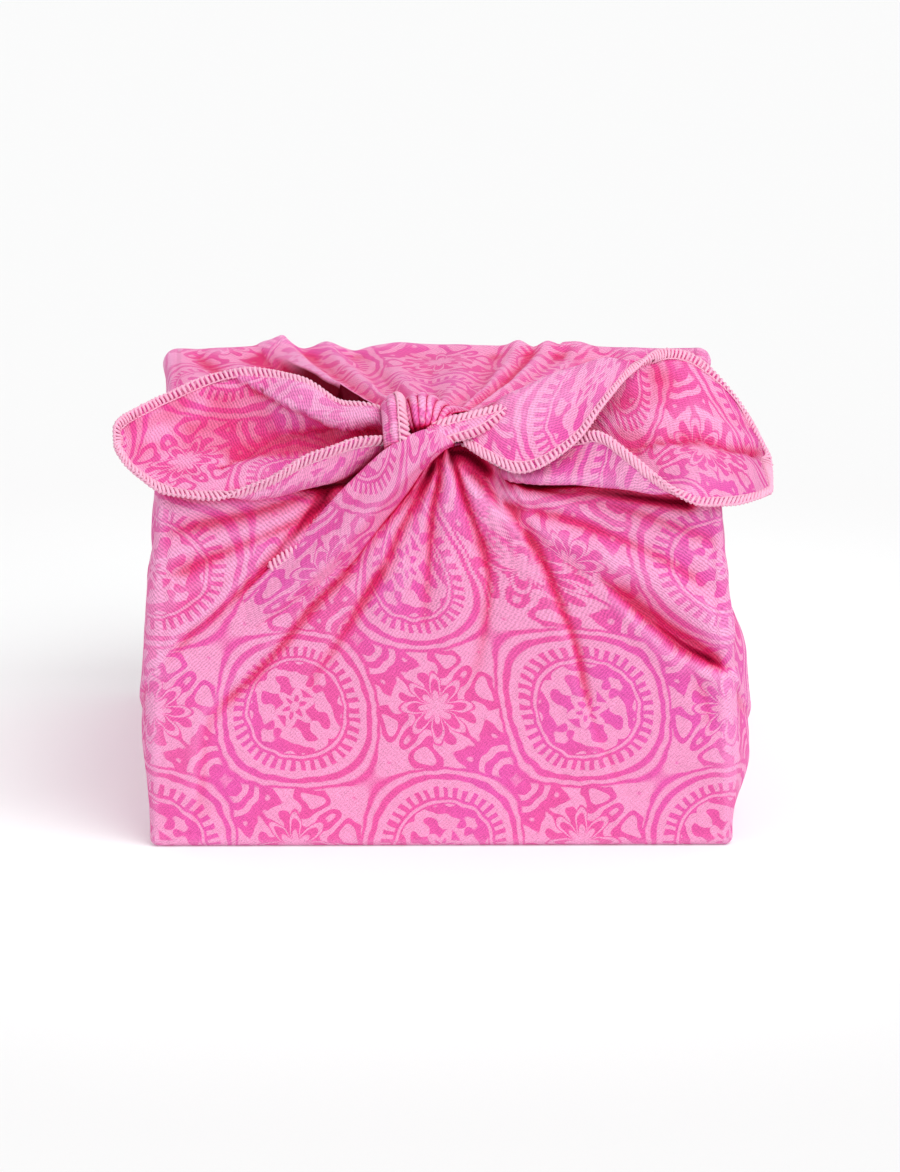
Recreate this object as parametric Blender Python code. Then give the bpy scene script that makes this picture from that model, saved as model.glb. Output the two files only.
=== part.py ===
"""Furoshiki wrap: one square cloth folded round a box form and tied in a knot at the front top edge.

The cloth is a single piece, so it is a single solid: the shell round the (absent) box, the raised
gathers that run up to the knot, the knot itself and the two free corners, or ears.
Tables are in millimetres; the meshes are made in metres.
X is to the right, Y to the back, Z up, and the origin is the middle of the underside.
"""
from collections import namedtuple

import bmesh
import bpy
import numpy as np

MM = 0.001

# Driving dimensions of the wrapped form, in millimetres
WIDTH_BOTTOM = 210.0
WIDTH_TOP = 202.0
DEPTH = 210.0
HEIGHT = 133.0
EDGE_RADIUS = 3.2
SHELL = 2.8            # cloth layers of the shell, from outer face to hollow
SHEET = 2.0            # one free layer, as in the ears

# The gathered strand that rises from the back edge over the top to the knot
STRAND_BACK_RISE = 1.2
STRAND_KNOT_RISE = 22.0
STRAND_KNOT_Y = -90.0
STRAND_LEFT_BACK = -66.0
STRAND_LEFT_KNOT = -17.0
STRAND_RIGHT_BACK = 53.0
STRAND_RIGHT_KNOT = 12.0
FLANK_BACK = 4.0       # how far the sides of the strand take to come down
FLANK_KNOT = 14.0
FRONT_RISE = 15.0      # height of the gathers where they pass the front edge
FRONT_RISE_FOOT = 92.0  # height on the front face where the rise begins

# The gap under the left side of the strand, open to the hollow
SLIT_START = 0.56      # share of the way from the back edge to the knot
SLIT_END = 0.80
SLIT_WIDTH = 9.0
SLIT_INSIDE = 1.5      # how far it reaches in under the strand
SLIT_FLOOR = 124.0
SLIT_ROOF = 143.0

# Grid lines of the shell before they are gathered towards the knot
STOPS_X = (-105, -92, -81, -73, -66, -60, -54, -48, -42, -36, -30, -24, -18, -12, -6, 0,
           6, 12, 18, 24, 30, 36, 42, 48, 54, 61, 69, 80, 92, 105)
STOPS_Y = (-105, -98, -91, -82, -72, -60, -47, -33, -18, -2, 14, 31, 49, 68, 87, 105)
STOPS_Z = (0, 14, 28, 41, 53, 64, 74, 83, 91, 98, 105, 111, 116.5, 122, 127.5, 133)
GATHER_KNOT = 0.742    # share of the width taken up at the knot
GATHER_EDGE = 0.50     # and where the cloth turns over the front edge
GATHER_DROP = 48.0     # it has spread out again this far down the front
GATHER_FLAT = 64.0     # grid lines nearer the middle than this are gathered in full
HOLLOW_STOPS = 11      # grid lines each way of the hollow

COLOUR_CLOTH = (0.83, 0.16, 0.42, 1.0)
CLOTH_ROUGHNESS = 0.55

# A fold is a soft ridge (or, with a negative rise, a crease) along a curve through three points.
# The points are (x, z) on the front and back, (x, y) on the top and (y, z) on the sides. The rise
# goes from first to last, and left and right are how far it takes to come down on each side.
Fold = namedtuple("Fold", "name face start middle end first last left right")
FOLDS = (
    Fold("big_roll", "front", (-12, 147), (-46, 107), (-80, 72), 6.0, 2.0, 7.0, 6.0),
    Fold("big_roll_edge", "front", (-22, 145), (-52, 113), (-80, 86), 3.0, 1.4, 7.0, 2.4),
    Fold("second_roll", "front", (-3, 144), (-31, 103), (-62, 60), 5.0, 1.4, 5.0, 4.0),
    Fold("third_roll", "front", (0, 144), (-13, 112), (-27, 76), 4.0, 0.8, 4.5, 4.0),
    Fold("middle_pleat", "front", (2, 146), (3, 121), (4, 80), 4.5, 0.8, 5.0, 4.5),
    Fold("right_pleat", "front", (6, 146), (19, 120), (35, 80), 5.0, 1.0, 7.0, 4.5),
    Fold("right_trough", "front", (22, 125), (46, 76), (66, 20), -1.6, -0.8, 4.5, 4.5),
    Fold("right_ridge", "front", (14, 141), (36, 118), (62, 101), 3.6, 1.2, 7.0, 6.0),
    Fold("right_lap", "front", (58, 101), (80, 86), (103, 71), 1.6, 3.6, 12.0, 3.0),
    Fold("left_lap", "front", (-54, 117), (-80, 98), (-104, 70), 1.2, 2.0, 3.0, 12.0),
    Fold("left_ridge", "front", (-30, 140), (-66, 128), (-100, 118), 2.2, 0.8, 5.0, 5.0),
    Fold("low_crease", "front", (-80, 54), (-88, 34), (-93, 8), -0.9, -0.4, 4.0, 4.0),
    Fold("left_puff", "left", (-104, 92), (-104, 68), (-104, 44), 3.0, 3.5, 24.0, 30.0),
    Fold("right_puff", "right", (-78, 88), (-72, 68), (-74, 44), 4.5, 4.5, 28.0, 24.0),
    Fold("left_side_drape", "left", (-90, 124), (-44, 92), (10, 24), 3.0, 0.8, 12.0, 12.0),
    Fold("left_side_lap", "left", (-50, 130), (14, 90), (92, 22), 2.4, 2.0, 8.0, 18.0),
    Fold("right_side_drape", "right", (-90, 122), (-38, 88), (16, 22), 3.2, 1.0, 12.0, 12.0),
    Fold("right_side_lap", "right", (-40, 130), (24, 88), (94, 24), 2.4, 2.0, 18.0, 8.0),
    Fold("back_left_lap", "back", (-58, 131), (-76, 76), (-99, 10), 2.2, 1.8, 4.0, 16.0),
    Fold("back_right_lap", "back", (48, 131), (72, 74), (99, 12), 2.2, 1.8, 16.0, 4.0),
    Fold("strand_left_lip", "top", (-56, 104), (-37, 14), (-17, -74), 2.4, 1.6, 5.0, 5.0),
    Fold("strand_left_fold", "top", (-37, 104), (-24, 14), (-9, -74), 2.2, 1.4, 5.0, 5.0),
    Fold("strand_right_fold", "top", (32, 104), (20, 10), (5, -76), 1.6, 1.6, 6.0, 5.0),
    Fold("strand_right_lip", "top", (46, 104), (30, 10), (10, -76), 1.8, 2.0, 5.0, 6.0),
    Fold("top_left_ridge", "top", (-98, 92), (-72, 20), (-38, -70), 1.4, 1.6, 7.0, 7.0),
    Fold("top_right_ridge", "top", (92, 80), (66, 4), (28, -80), 1.6, 2.6, 8.0, 8.0),
)
FOLD_STEPS = 12
FOLD_NARROW = 0.55     # width of a fold at its start, as a share of its width
FOLD_WIDE = 1.45       # and at its end
FOLD_CALM = 16.0       # folds fade out over this height above the table

# The ears: each row is a section at one x, through six rails of the sheet: the first hem, the turn,
# the back wall, the base, the front turn and the second hem, as (y, z) pairs.
Section = namedtuple("Section", "x hem_a turn wall base front hem_b")
LEFT_EAR = (
    Section(-14, (-96, 158), (-97, 155), (-95, 151), (-95, 147), (-99, 145), (-103, 151)),
    Section(-24, (-90, 160), (-97, 157), (-92, 150), (-95, 144.5), (-103, 142), (-108, 153)),
    Section(-36, (-83, 160), (-93, 155), (-90, 146), (-98, 140), (-108, 138), (-112, 151.5)),
    Section(-50, (-72, 165.5), (-83, 157), (-86, 144), (-98, 137.5), (-110, 134.5), (-115, 146.5)),
    Section(-66, (-62, 166.5), (-70, 155), (-82, 142), (-97, 137.5), (-111, 132.5), (-116, 137.5)),
    Section(-82, (-60, 164), (-67, 152), (-79, 142), (-94, 138), (-108, 134.5), (-115, 132.5)),
    Section(-98, (-66, 158.5), (-71, 150), (-80, 143), (-91, 139), (-102, 136), (-110, 133.5)),
    Section(-110, (-76, 155), (-79, 149.5), (-84, 145), (-90, 142), (-97, 140.5), (-103, 139.5)),
    Section(-117.5, (-88, 152.5), (-88.5, 151), (-89.5, 150), (-90.5, 149), (-91.7, 148), (-93, 147.5)),
)
RIGHT_EAR = (
    Section(8, (-106, 150), (-100, 157), (-91, 152), (-93, 145), (-99, 143.5), (-101, 149)),
    Section(17, (-110.5, 145), (-98, 160), (-86, 153), (-91, 142.5), (-102, 140.5), (-101, 149)),
    Section(26, (-114, 142), (-97, 165), (-83, 153), (-92, 140), (-106, 138), (-101, 150)),
    Section(37, (-114, 144.5), (-90, 169.5), (-75, 152), (-92, 139), (-109.5, 137.5), (-102, 151)),
    Section(48, (-109, 152), (-82, 172.5), (-68, 150), (-92, 138), (-111, 137), (-103.5, 152)),
    Section(57, (-100, 161.5), (-75, 174), (-66, 148), (-92, 137.5), (-112, 136), (-107, 154)),
    Section(68, (-79, 169.5), (-66, 173), (-67, 147), (-92, 137), (-113.5, 134.5), (-114, 147)),
    Section(78, (-61, 172.5), (-58, 167), (-68, 146), (-92, 137), (-112, 133), (-115.5, 139)),
    Section(90, (-50, 169.5), (-54, 161), (-70, 145), (-92, 138.5), (-108.5, 134.5), (-114.5, 130)),
    Section(103, (-47, 158), (-54, 152), (-70, 141), (-86, 135), (-99, 131.5), (-108, 128.5)),
    Section(112, (-56, 146), (-61, 143), (-70, 138.5), (-80, 134.5), (-91, 131), (-100, 128)),
    Section(118, (-76, 134), (-78, 133), (-80, 132), (-82, 131), (-84.5, 129.5), (-87, 128)),
)
RAILS = 6
EAR_ACROSS = 15        # facets across the sheet
EAR_ALONG = 20         # facets along it

# The knot: each strand is swept through its rows, with half its width and half its thickness there
Strand = namedtuple("Strand", "x y z width thick")
EAR_ROOTS = (
    Strand(-27, -99, 150.5, 7.0, 6.0),
    Strand(-14, -98, 151.5, 7.0, 6.5),
    Strand(0, -97, 150, 7.5, 7.5),
    Strand(12, -99, 151, 6.5, 6.5),
    Strand(22, -100, 151.5, 8.0, 6.0),
)
OVER_WRAP = (
    Strand(-5, -66, 155, 13.0, 4.0),
    Strand(-7, -86, 160, 11.0, 4.5),
    Strand(-9, -101, 160, 9.5, 4.5),
    Strand(-9.5, -109, 153, 8.0, 4.0),
    Strand(-7, -108, 145, 6.0, 4.0),
    Strand(-2, -101, 141, 5.0, 4.0),
)
FRONT_TUCK = (
    Strand(-54, -105.0, 101, 5.0, 2.0),
    Strand(-42, -106.0, 113, 7.5, 3.0),
    Strand(-27, -107.5, 128, 8.0, 3.5),
    Strand(-14, -109.5, 140, 7.5, 3.5),
    Strand(-4, -111.5, 147, 6.5, 3.5),
    Strand(2, -109.5, 148, 5.0, 3.5),
    Strand(4, -103.0, 146, 4.5, 3.5),
)
STRAND_SIDES = 10
STRAND_STEPS = 12


def smooth(value):
    """Ease from 0 to 1 between 0 and 1."""
    t = np.clip(value, 0.0, 1.0)
    return t * t * (3.0 - 2.0 * t)


def spline(rows, count):
    """Points on a smooth curve through the rows, evenly spread over them."""
    rows = np.asarray(rows, float)
    ends = np.vstack([2 * rows[0] - rows[1], rows, 2 * rows[-1] - rows[-2]])
    place = np.linspace(0, len(rows) - 1, count)
    index = np.minimum(place.astype(int), len(rows) - 2)
    t = (place - index)[:, None]
    a, b, c, d = (ends[index + k] for k in range(4))
    return 0.5 * (2 * b + (c - a) * t + (2 * a - 5 * b + 4 * c - d) * t ** 2
                  + (3 * b - a - 3 * c + d) * t ** 3)


def strand_share(y):
    """0 at the back edge and 1 at the knot."""
    back = DEPTH / 2
    return np.clip((back - y) / (back - STRAND_KNOT_Y), 0.0, 1.0)


def strand_lift(x, y, inset=0.0):
    """Height of the gathered strand above the flat top; inset draws its sides in."""
    share = strand_share(y)
    left = STRAND_LEFT_BACK + (STRAND_LEFT_KNOT - STRAND_LEFT_BACK) * share + inset
    right = STRAND_RIGHT_BACK + (STRAND_RIGHT_KNOT - STRAND_RIGHT_BACK) * share - inset
    rise = STRAND_BACK_RISE + (STRAND_KNOT_RISE - STRAND_BACK_RISE) * share
    nose = smooth((STRAND_KNOT_Y - y) / (DEPTH / 2 + STRAND_KNOT_Y))
    rise = rise + (FRONT_RISE - STRAND_KNOT_RISE) * nose
    flank = FLANK_BACK + (FLANK_KNOT - FLANK_BACK) * smooth((share - 0.8) / 0.2)
    flank_right = flank + FLANK_BACK
    down = np.maximum((left - x) / flank, (x - right) / flank_right)
    return rise * (1.0 - smooth(down))


def gather(places):
    """The grid drawn in towards the middle, most at the knot."""
    x, y, z = places.T
    share = strand_share(y)
    to_edge = smooth((STRAND_KNOT_Y - y) / (DEPTH / 2 + STRAND_KNOT_Y))
    on_top = GATHER_KNOT * share + (GATHER_EDGE - GATHER_KNOT) * to_edge
    drop = np.clip(1.0 - (HEIGHT - z) / GATHER_DROP, 0.0, 1.0)
    on_top = np.where(z > HEIGHT - EDGE_RADIUS, on_top, 0.0)
    on_front = np.where(y < -DEPTH / 2 + EDGE_RADIUS, GATHER_EDGE, on_top)
    amount = np.where(z > HEIGHT - 1e-6, on_top, on_front * drop)
    reach = smooth((WIDTH_BOTTOM / 2 - np.abs(x)) / (WIDTH_BOTTOM / 2 - GATHER_FLAT))
    return np.stack([x * (1.0 - amount * reach), y, z], axis=1)


def face_point(face, u, v):
    """The place on the wrapped form, and the outward direction, of a fold's point."""
    half_x = (WIDTH_BOTTOM + WIDTH_TOP) / 4
    if face == "front":
        return (u, -DEPTH / 2, v), (0, -1, 0)
    if face == "back":
        return (u, DEPTH / 2, v), (0, 1, 0)
    if face == "left":
        return (-half_x, u, v), (-1, 0, 0)
    if face == "right":
        return (half_x, u, v), (1, 0, 0)
    return (u, v, HEIGHT + float(strand_lift(u, v))), (0, 0, 1)


def fold_curve(fold):
    """The fold's curve through its three points, and the outward direction of its face."""
    start, middle, end = (np.array(p, float) for p in (fold.start, fold.middle, fold.end))
    t = np.linspace(0.0, 1.0, FOLD_STEPS + 1)[:, None]
    flat = start * (1 - t) * (1 - 2 * t) + middle * 4 * t * (1 - t) + end * t * (2 * t - 1)
    points = np.array([face_point(fold.face, u, v)[0] for u, v in flat])
    return points, np.array(face_point(fold.face, 0, 0)[1], float)


def fold_rise(fold, places):
    """How far the fold raises each place."""
    curve, outward = fold_curve(fold)
    nearest = np.full(len(places), np.inf)
    result = np.zeros(len(places))
    for step in range(FOLD_STEPS):
        a, b = curve[step], curve[step + 1]
        along = b - a
        t = np.clip((places - a) @ along / (along @ along), 0.0, 1.0)
        gap = places - (a + t[:, None] * along)
        distance = np.linalg.norm(gap, axis=1)
        share = (step + t) / FOLD_STEPS
        on_left = gap @ np.cross(outward, along) > 0
        width = np.where(on_left, fold.left, fold.right)
        width = width * (FOLD_NARROW + (FOLD_WIDE - FOLD_NARROW) * share)
        height = fold.first + (fold.last - fold.first) * share
        rise = height * np.exp(-(distance / width) ** 2)
        closer = distance < nearest
        nearest[closer] = distance[closer]
        result[closer] = rise[closer]
    return result


def shell_places(grid, sizes, radius):
    """Grid places moved onto the rounded form, and the outward direction at each."""
    half = np.array([sizes[0] / 2, sizes[1] / 2, sizes[2] / 2])
    middle = np.array([0.0, 0.0, sizes[2] / 2])
    local = grid - middle
    core = np.clip(local, radius - half, half - radius)
    outward = local - core
    outward = outward / np.linalg.norm(outward, axis=1)[:, None]
    return core + radius * outward + middle, outward


def drape(grid):
    """The outer face of the shell at each grid place."""
    grid = gather(grid)
    places, outward = shell_places(grid, (WIDTH_BOTTOM, DEPTH, HEIGHT), EDGE_RADIUS)
    height = places[:, 2] / HEIGHT
    places[:, 0] *= 1.0 + (WIDTH_TOP / WIDTH_BOTTOM - 1.0) * height
    climb = smooth((places[:, 2] - FRONT_RISE_FOOT) / (HEIGHT - FRONT_RISE_FOOT))
    climb = climb * (places[:, 1] < 0)
    climb = np.where(outward[:, 2] > 0.9, 1.0, climb)
    places[:, 2] += climb * strand_lift(places[:, 0], places[:, 1])
    rise = sum(fold_rise(fold, places) for fold in FOLDS)
    rise = rise * smooth(places[:, 2] / FOLD_CALM)
    return places + outward * rise[:, None]


def hollow(grid):
    """The inner face of the shell at each grid place."""
    sizes = (WIDTH_BOTTOM - 2 * SHELL, DEPTH - 2 * SHELL, HEIGHT - 2 * SHELL)
    places, outward = shell_places(grid, sizes, EDGE_RADIUS)
    places[:, 2] += SHELL
    places[:, 0] *= 1.0 + (WIDTH_TOP / WIDTH_BOTTOM - 1.0) * places[:, 2] / HEIGHT
    inset = FLANK_KNOT
    lift = np.maximum(strand_lift(places[:, 0], places[:, 1], inset) - 2 * SHELL, 0.0)
    fade = smooth((places[:, 1] + DEPTH / 2) / FLANK_KNOT - 0.5)
    places[:, 2] += np.where(outward[:, 2] > 0.9, lift * fade, 0.0)
    return places


def with_edges(stops, radius):
    """Grid lines with one more at the start and the end of each rounded edge."""
    inner = [s for s in stops[1:-1] if stops[0] + 1.5 * radius < s < stops[-1] - 1.5 * radius]
    return [stops[0], stops[0] + radius, *inner, stops[-1] - radius, stops[-1]]


def box_grid(stops_x, stops_y, stops_z):
    """The places and faces of a closed grid over a box; its underside is one flat face."""
    stops = (stops_x, stops_y, stops_z)
    last = [len(s) - 1 for s in stops]
    keys = {}

    def key(i, j, k):
        return keys.setdefault((i, j, k), len(keys))

    faces = []

    def patch(axis, side, turned, skip=()):
        u, v = ((1, 2), (2, 0), (0, 1))[axis]
        for a in range(last[u]):
            for b in range(last[v]):
                if skip and skip[0] <= a < skip[1] and skip[2] <= b < skip[3]:
                    continue
                ring = []
                for da, db in ((0, 0), (1, 0), (1, 1), (0, 1)):
                    cell = [0, 0, 0]
                    cell[axis], cell[u], cell[v] = side, a + da, b + db
                    ring.append(key(*cell))
                faces.append(ring[::-1] if turned else ring)

    for axis in range(3):
        patch(axis, last[axis], False)
    for axis in range(2):
        patch(axis, 0, True)
    patch(2, 0, True, (1, last[0] - 1, 1, last[1] - 1))
    low, high_i, high_j = 1, last[0] - 1, last[1] - 1
    ring = [key(i, low, 0) for i in range(low, high_i)]
    ring += [key(high_i, j, 0) for j in range(low, high_j)]
    ring += [key(i, high_j, 0) for i in range(high_i, low, -1)]
    ring += [key(low, j, 0) for j in range(high_j, low, -1)]
    faces.append(ring[::-1])
    places = np.array([[stops[n][c[n]] for n in range(3)] for c in keys], float)
    return places, faces


def make_object(name, places, faces):
    """A mesh object from places in millimetres."""
    mesh = bpy.data.meshes.new(name)
    mesh.from_pydata([tuple(p) for p in np.asarray(places) * MM], [], faces)
    mesh.validate()
    item = bpy.data.objects.new(name, mesh)
    bpy.context.collection.objects.link(item)
    return item


def grid_faces(rows, columns, start=0, closed=False):
    """Quads between neighbouring rows of places."""
    faces = []
    for r in range(rows - 1):
        for c in range(columns if closed else columns - 1):
            n = (c + 1) % columns
            a = start + r * columns
            faces.append((a + c, a + n, a + columns + n, a + columns + c))
    return faces


def make_strand(name, rows):
    """A closed flattened strand swept through its rows."""
    table = spline([(s.x, s.y, s.z, s.width, s.thick) for s in rows], STRAND_STEPS + 1)
    path = table[:, :3]
    along = np.gradient(path, axis=0)
    along /= np.linalg.norm(along, axis=1)[:, None]
    facing = np.array([0.0, -0.75, 0.66])
    across = np.cross(along, facing)
    across /= np.linalg.norm(across, axis=1)[:, None]
    normal = np.cross(across, along)
    places = []
    for row, side, up in zip(table, across, normal):
        for n in range(STRAND_SIDES):
            angle = 2 * np.pi * n / STRAND_SIDES
            places.append(row[:3] + side * row[3] * np.cos(angle) + up * row[4] * np.sin(angle))
    count = STRAND_STEPS + 1
    faces = grid_faces(count, STRAND_SIDES, closed=True)
    faces.append(tuple(range(STRAND_SIDES - 1, -1, -1)))
    faces.append(tuple(range((count - 1) * STRAND_SIDES, count * STRAND_SIDES)))
    return outward_facing(make_object(name, places, faces))


def ear_surface(sections):
    """The middle surface of an ear as rows of places."""
    rails = []
    for place in range(RAILS):
        rail = [(s.x, *s[1 + place]) for s in sections]
        rails.append(spline(rail, EAR_ALONG + 1))
    rows = np.stack(rails, axis=1)
    return np.stack([spline(row, EAR_ACROSS + 1) for row in rows])


def make_ear(name, sections):
    """A closed sheet of one layer's thickness over the ear's surface."""
    surface = ear_surface(sections)
    along = np.gradient(surface, axis=0)
    across = np.gradient(surface, axis=1)
    normal = np.cross(along, across)
    normal /= np.linalg.norm(normal, axis=2)[:, :, None]
    rows, columns = surface.shape[:2]
    count = rows * columns
    places = np.vstack([(surface + normal * SHEET / 2).reshape(-1, 3),
                        (surface - normal * SHEET / 2).reshape(-1, 3)])
    faces = grid_faces(rows, columns)
    faces += [tuple(n + count for n in face[::-1]) for face in faces]
    rim = [c for c in range(columns)]
    rim += [r * columns + columns - 1 for r in range(1, rows)]
    rim += [(rows - 1) * columns + c for c in range(columns - 2, -1, -1)]
    rim += [r * columns for r in range(rows - 2, 0, -1)]
    for n, a in enumerate(rim):
        b = rim[(n + 1) % len(rim)]
        faces.append((b, a, a + count, b + count))
    return outward_facing(make_object(name, places, faces))


def outward_facing(item):
    """Turn every face of a closed mesh outwards."""
    work = bmesh.new()
    work.from_mesh(item.data)
    bmesh.ops.recalc_face_normals(work, faces=work.faces)
    work.to_mesh(item.data)
    work.free()
    return item


def make_slit(name):
    """The cutter for the gap under the left side of the strand."""
    corners = []
    for share in (SLIT_START, SLIT_END):
        x = STRAND_LEFT_BACK + (STRAND_LEFT_KNOT - STRAND_LEFT_BACK) * share
        y = DEPTH / 2 + (STRAND_KNOT_Y - DEPTH / 2) * share
        corners.append((x + SLIT_INSIDE, y))
        corners.append((x + SLIT_INSIDE - SLIT_WIDTH, y))
    ring = [corners[n] for n in (0, 1, 3, 2)]
    places = [(x, y, z) for z in (SLIT_FLOOR, SLIT_ROOF) for x, y in ring]
    faces = [(0, 1, 2, 3), (7, 6, 5, 4)]
    faces += [(n, n + 4, (n + 1) % 4 + 4, (n + 1) % 4) for n in range(4)]
    return outward_facing(make_object(name, places, faces))


def make_guide(item):
    """Mark a helper so that it shows as wires only."""
    item.hide_render = True
    item.display_type = "WIRE"
    return item


def combine(item, other, operation):
    """Join or cut with another closed mesh."""
    step = item.modifiers.new(other.name, "BOOLEAN")
    step.operation = operation
    step.solver = "EXACT"
    step.object = make_guide(other)


def cloth_material():
    material = bpy.data.materials.new("pink_knit")
    material.use_nodes = True
    shader = material.node_tree.nodes["Principled BSDF"]
    shader.inputs["Base Color"].default_value = COLOUR_CLOTH
    shader.inputs["Roughness"].default_value = CLOTH_ROUGHNESS
    shader.inputs["Metallic"].default_value = 0.0
    return material


def make_wrap():
    """The whole cloth: shell, hollow, gap, knot and ears as one solid."""
    places, faces = box_grid(*(with_edges(s, EDGE_RADIUS) for s in (STOPS_X, STOPS_Y, STOPS_Z)))
    cloth = outward_facing(make_object("furoshiki_cloth", drape(places), faces))
    inner_sizes = (WIDTH_BOTTOM - 2 * SHELL, DEPTH - 2 * SHELL)
    stops = [list(np.linspace(-size / 2, size / 2, HOLLOW_STOPS)) for size in inner_sizes]
    stops.append([0.0, (HEIGHT - 2 * SHELL) / 2, HEIGHT - 2 * SHELL])
    places, faces = box_grid(*(with_edges(s, EDGE_RADIUS) for s in stops))
    combine(cloth, outward_facing(make_object("guide_hollow", hollow(places), faces)), "DIFFERENCE")
    combine(cloth, make_slit("guide_slit"), "DIFFERENCE")
    strands = (("guide_roots", EAR_ROOTS), ("guide_wrap", OVER_WRAP), ("guide_tuck", FRONT_TUCK))
    for name, rows in strands:
        combine(cloth, make_strand(name, rows), "UNION")
    combine(cloth, make_ear("guide_left_ear", LEFT_EAR), "UNION")
    combine(cloth, make_ear("guide_right_ear", RIGHT_EAR), "UNION")
    cloth.data.materials.append(cloth_material())
    return cloth


for old in list(bpy.data.objects):
    bpy.data.objects.remove(old, do_unlink=True)
make_wrap()
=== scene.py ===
import math

import bpy
import numpy as np
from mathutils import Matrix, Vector
from mathutils.bvhtree import BVHTree


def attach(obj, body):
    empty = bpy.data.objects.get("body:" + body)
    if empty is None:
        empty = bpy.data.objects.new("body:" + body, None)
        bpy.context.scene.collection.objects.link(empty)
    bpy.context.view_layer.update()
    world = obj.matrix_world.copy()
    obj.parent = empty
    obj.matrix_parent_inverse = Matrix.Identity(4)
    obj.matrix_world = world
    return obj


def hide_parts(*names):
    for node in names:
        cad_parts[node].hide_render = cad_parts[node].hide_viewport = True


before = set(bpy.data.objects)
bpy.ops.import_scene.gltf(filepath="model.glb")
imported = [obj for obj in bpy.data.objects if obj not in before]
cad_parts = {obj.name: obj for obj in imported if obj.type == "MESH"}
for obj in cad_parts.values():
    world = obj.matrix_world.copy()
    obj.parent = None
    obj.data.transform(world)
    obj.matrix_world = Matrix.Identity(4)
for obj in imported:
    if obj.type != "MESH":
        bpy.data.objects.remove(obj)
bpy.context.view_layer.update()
mm = 0.001
uvSpan = 500.0  # millimetres of cloth to one unit of the UV maps
diagonal = 0.70711  # sine and cosine of 45 degrees, for what runs slanted across the cloth


def ease(value):
    t = np.clip(value, 0.0, 1.0)
    return t * t * (3.0 - 2.0 * t)


def curveThrough(rows, count):
    # a smooth curve through the rows, evenly spread over them
    rows = np.asarray(rows, float)
    ends = np.vstack([2 * rows[0] - rows[1], rows, 2 * rows[-1] - rows[-2]])
    place = np.linspace(0, len(rows) - 1, count)
    index = np.minimum(place.astype(int), len(rows) - 2)
    t = (place - index)[:, None]
    a, b, c, d = (ends[index + k] for k in range(4))
    return 0.5 * (2 * b + (c - a) * t + (2 * a - 5 * b + 4 * c - d) * t ** 2
                  + (3 * b - a - 3 * c + d) * t ** 3)


def unit(vectors):
    return vectors / np.maximum(np.linalg.norm(vectors, axis=-1, keepdims=True), 1e-9)


def ripple(places, length, seed):
    # soft, repeatable unevenness between about -1 and 1
    spread = np.random.default_rng(seed)
    total = np.zeros(len(places))
    for _ in range(7):
        direction = unit(spread.normal(size=places.shape[1]))
        pitch = length * spread.uniform(0.7, 1.5)
        total += np.sin(places @ direction * (2 * np.pi / pitch) + spread.uniform(0, 6.3))
    return total / 3.2


def gridFaces(rows, columns, closed=False):
    faces = []
    for r in range(rows - 1):
        for c in range(columns if closed else columns - 1):
            n, a = (c + 1) % columns, r * columns
            faces.append((a + c, a + n, a + columns + n, a + columns + c))
    return faces


def linksOf(faces):
    # every neighbour pair of the mesh, both ways
    pairs = np.concatenate([np.stack([f, np.roll(f, -1)], axis=1) for f in map(np.asarray, faces)])
    return np.unique(np.vstack([pairs, pairs[:, ::-1]]), axis=0)


def smoothed(values, links, rounds):
    # each round moves every value halfway to the mean of its neighbours
    count = np.maximum(np.bincount(links[:, 0], minlength=len(values)), 1)[:, None]
    for _ in range(rounds):
        total = np.stack([np.bincount(links[:, 0], values[links[:, 1], k], len(values))
                          for k in range(values.shape[1])], axis=1)
        values = 0.5 * (values + total / count)
    return values


def roundsFor(size, spacing):
    # rounds of smoothing that level out whatever is smaller than the size
    return int(4 * (size / spacing) ** 2)


def meshRelief(places, outward, links, spacing, sizes):
    # how far each place lies below its smoothed surroundings, as a share of two sizes of smoothing
    smooth, done, depths = places, 0, []
    for size in sizes:
        rounds = roundsFor(size, spacing)
        smooth = smoothed(smooth, links, rounds - done)
        done = rounds
        depths.append(((smooth - places) * outward).sum(axis=1) / size)
    return depths


def sheetRelief(surface, outward, sizes):
    # the same for rows of places
    spacing = np.sqrt(np.linalg.norm(np.diff(surface, axis=0), axis=2).mean()
                      * np.linalg.norm(np.diff(surface, axis=1), axis=2).mean())
    smooth, done, depths = surface, 0, []
    for size in sizes:
        rounds = min(roundsFor(size, spacing), 900)
        for _ in range(rounds - done):
            wide = np.pad(smooth, ((1, 1), (1, 1), (0, 0)), mode="reflect", reflect_type="odd")
            around = (wide[:-2, 1:-1] + wide[2:, 1:-1] + wide[1:-1, :-2] + wide[1:-1, 2:]) / 4
            smooth = 0.5 * (smooth + around)
        done = rounds
        depths.append(((smooth - surface) * outward).sum(axis=2) / size)
    return depths


paintedFoldLightWeights = {
    # painted shade down in the folds and painted highlight on their crests: weight of each, the depth that counts in
    # full, and what is taken off as too shallow to count
    "fineShade": (0.50, 0.32, 0.20), "broadShade": (0.90, 0.27, 0.12),
    "fineHighlight": (0.40, 0.30, 0.15), "broadHighlight": (0.70, 0.30, 0.12),
}


def paintedFoldLight(fine, broad, strength=1.0):
    # 0 to 1: painted shade by how deep in a fold, and painted highlight by how far up on a crest
    def share(depth, which):
        weight, full, shallow = paintedFoldLightWeights[which]
        return weight * np.clip(depth / full - shallow, 0, 1)

    fine, broad = fine * strength, broad * strength
    creaseShade = share(fine, "fineShade") + share(broad, "broadShade")
    crown = share(-fine, "fineHighlight") + share(-broad, "broadHighlight")
    return np.clip(creaseShade, 0, 1), np.clip(crown, 0, 1)


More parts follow.
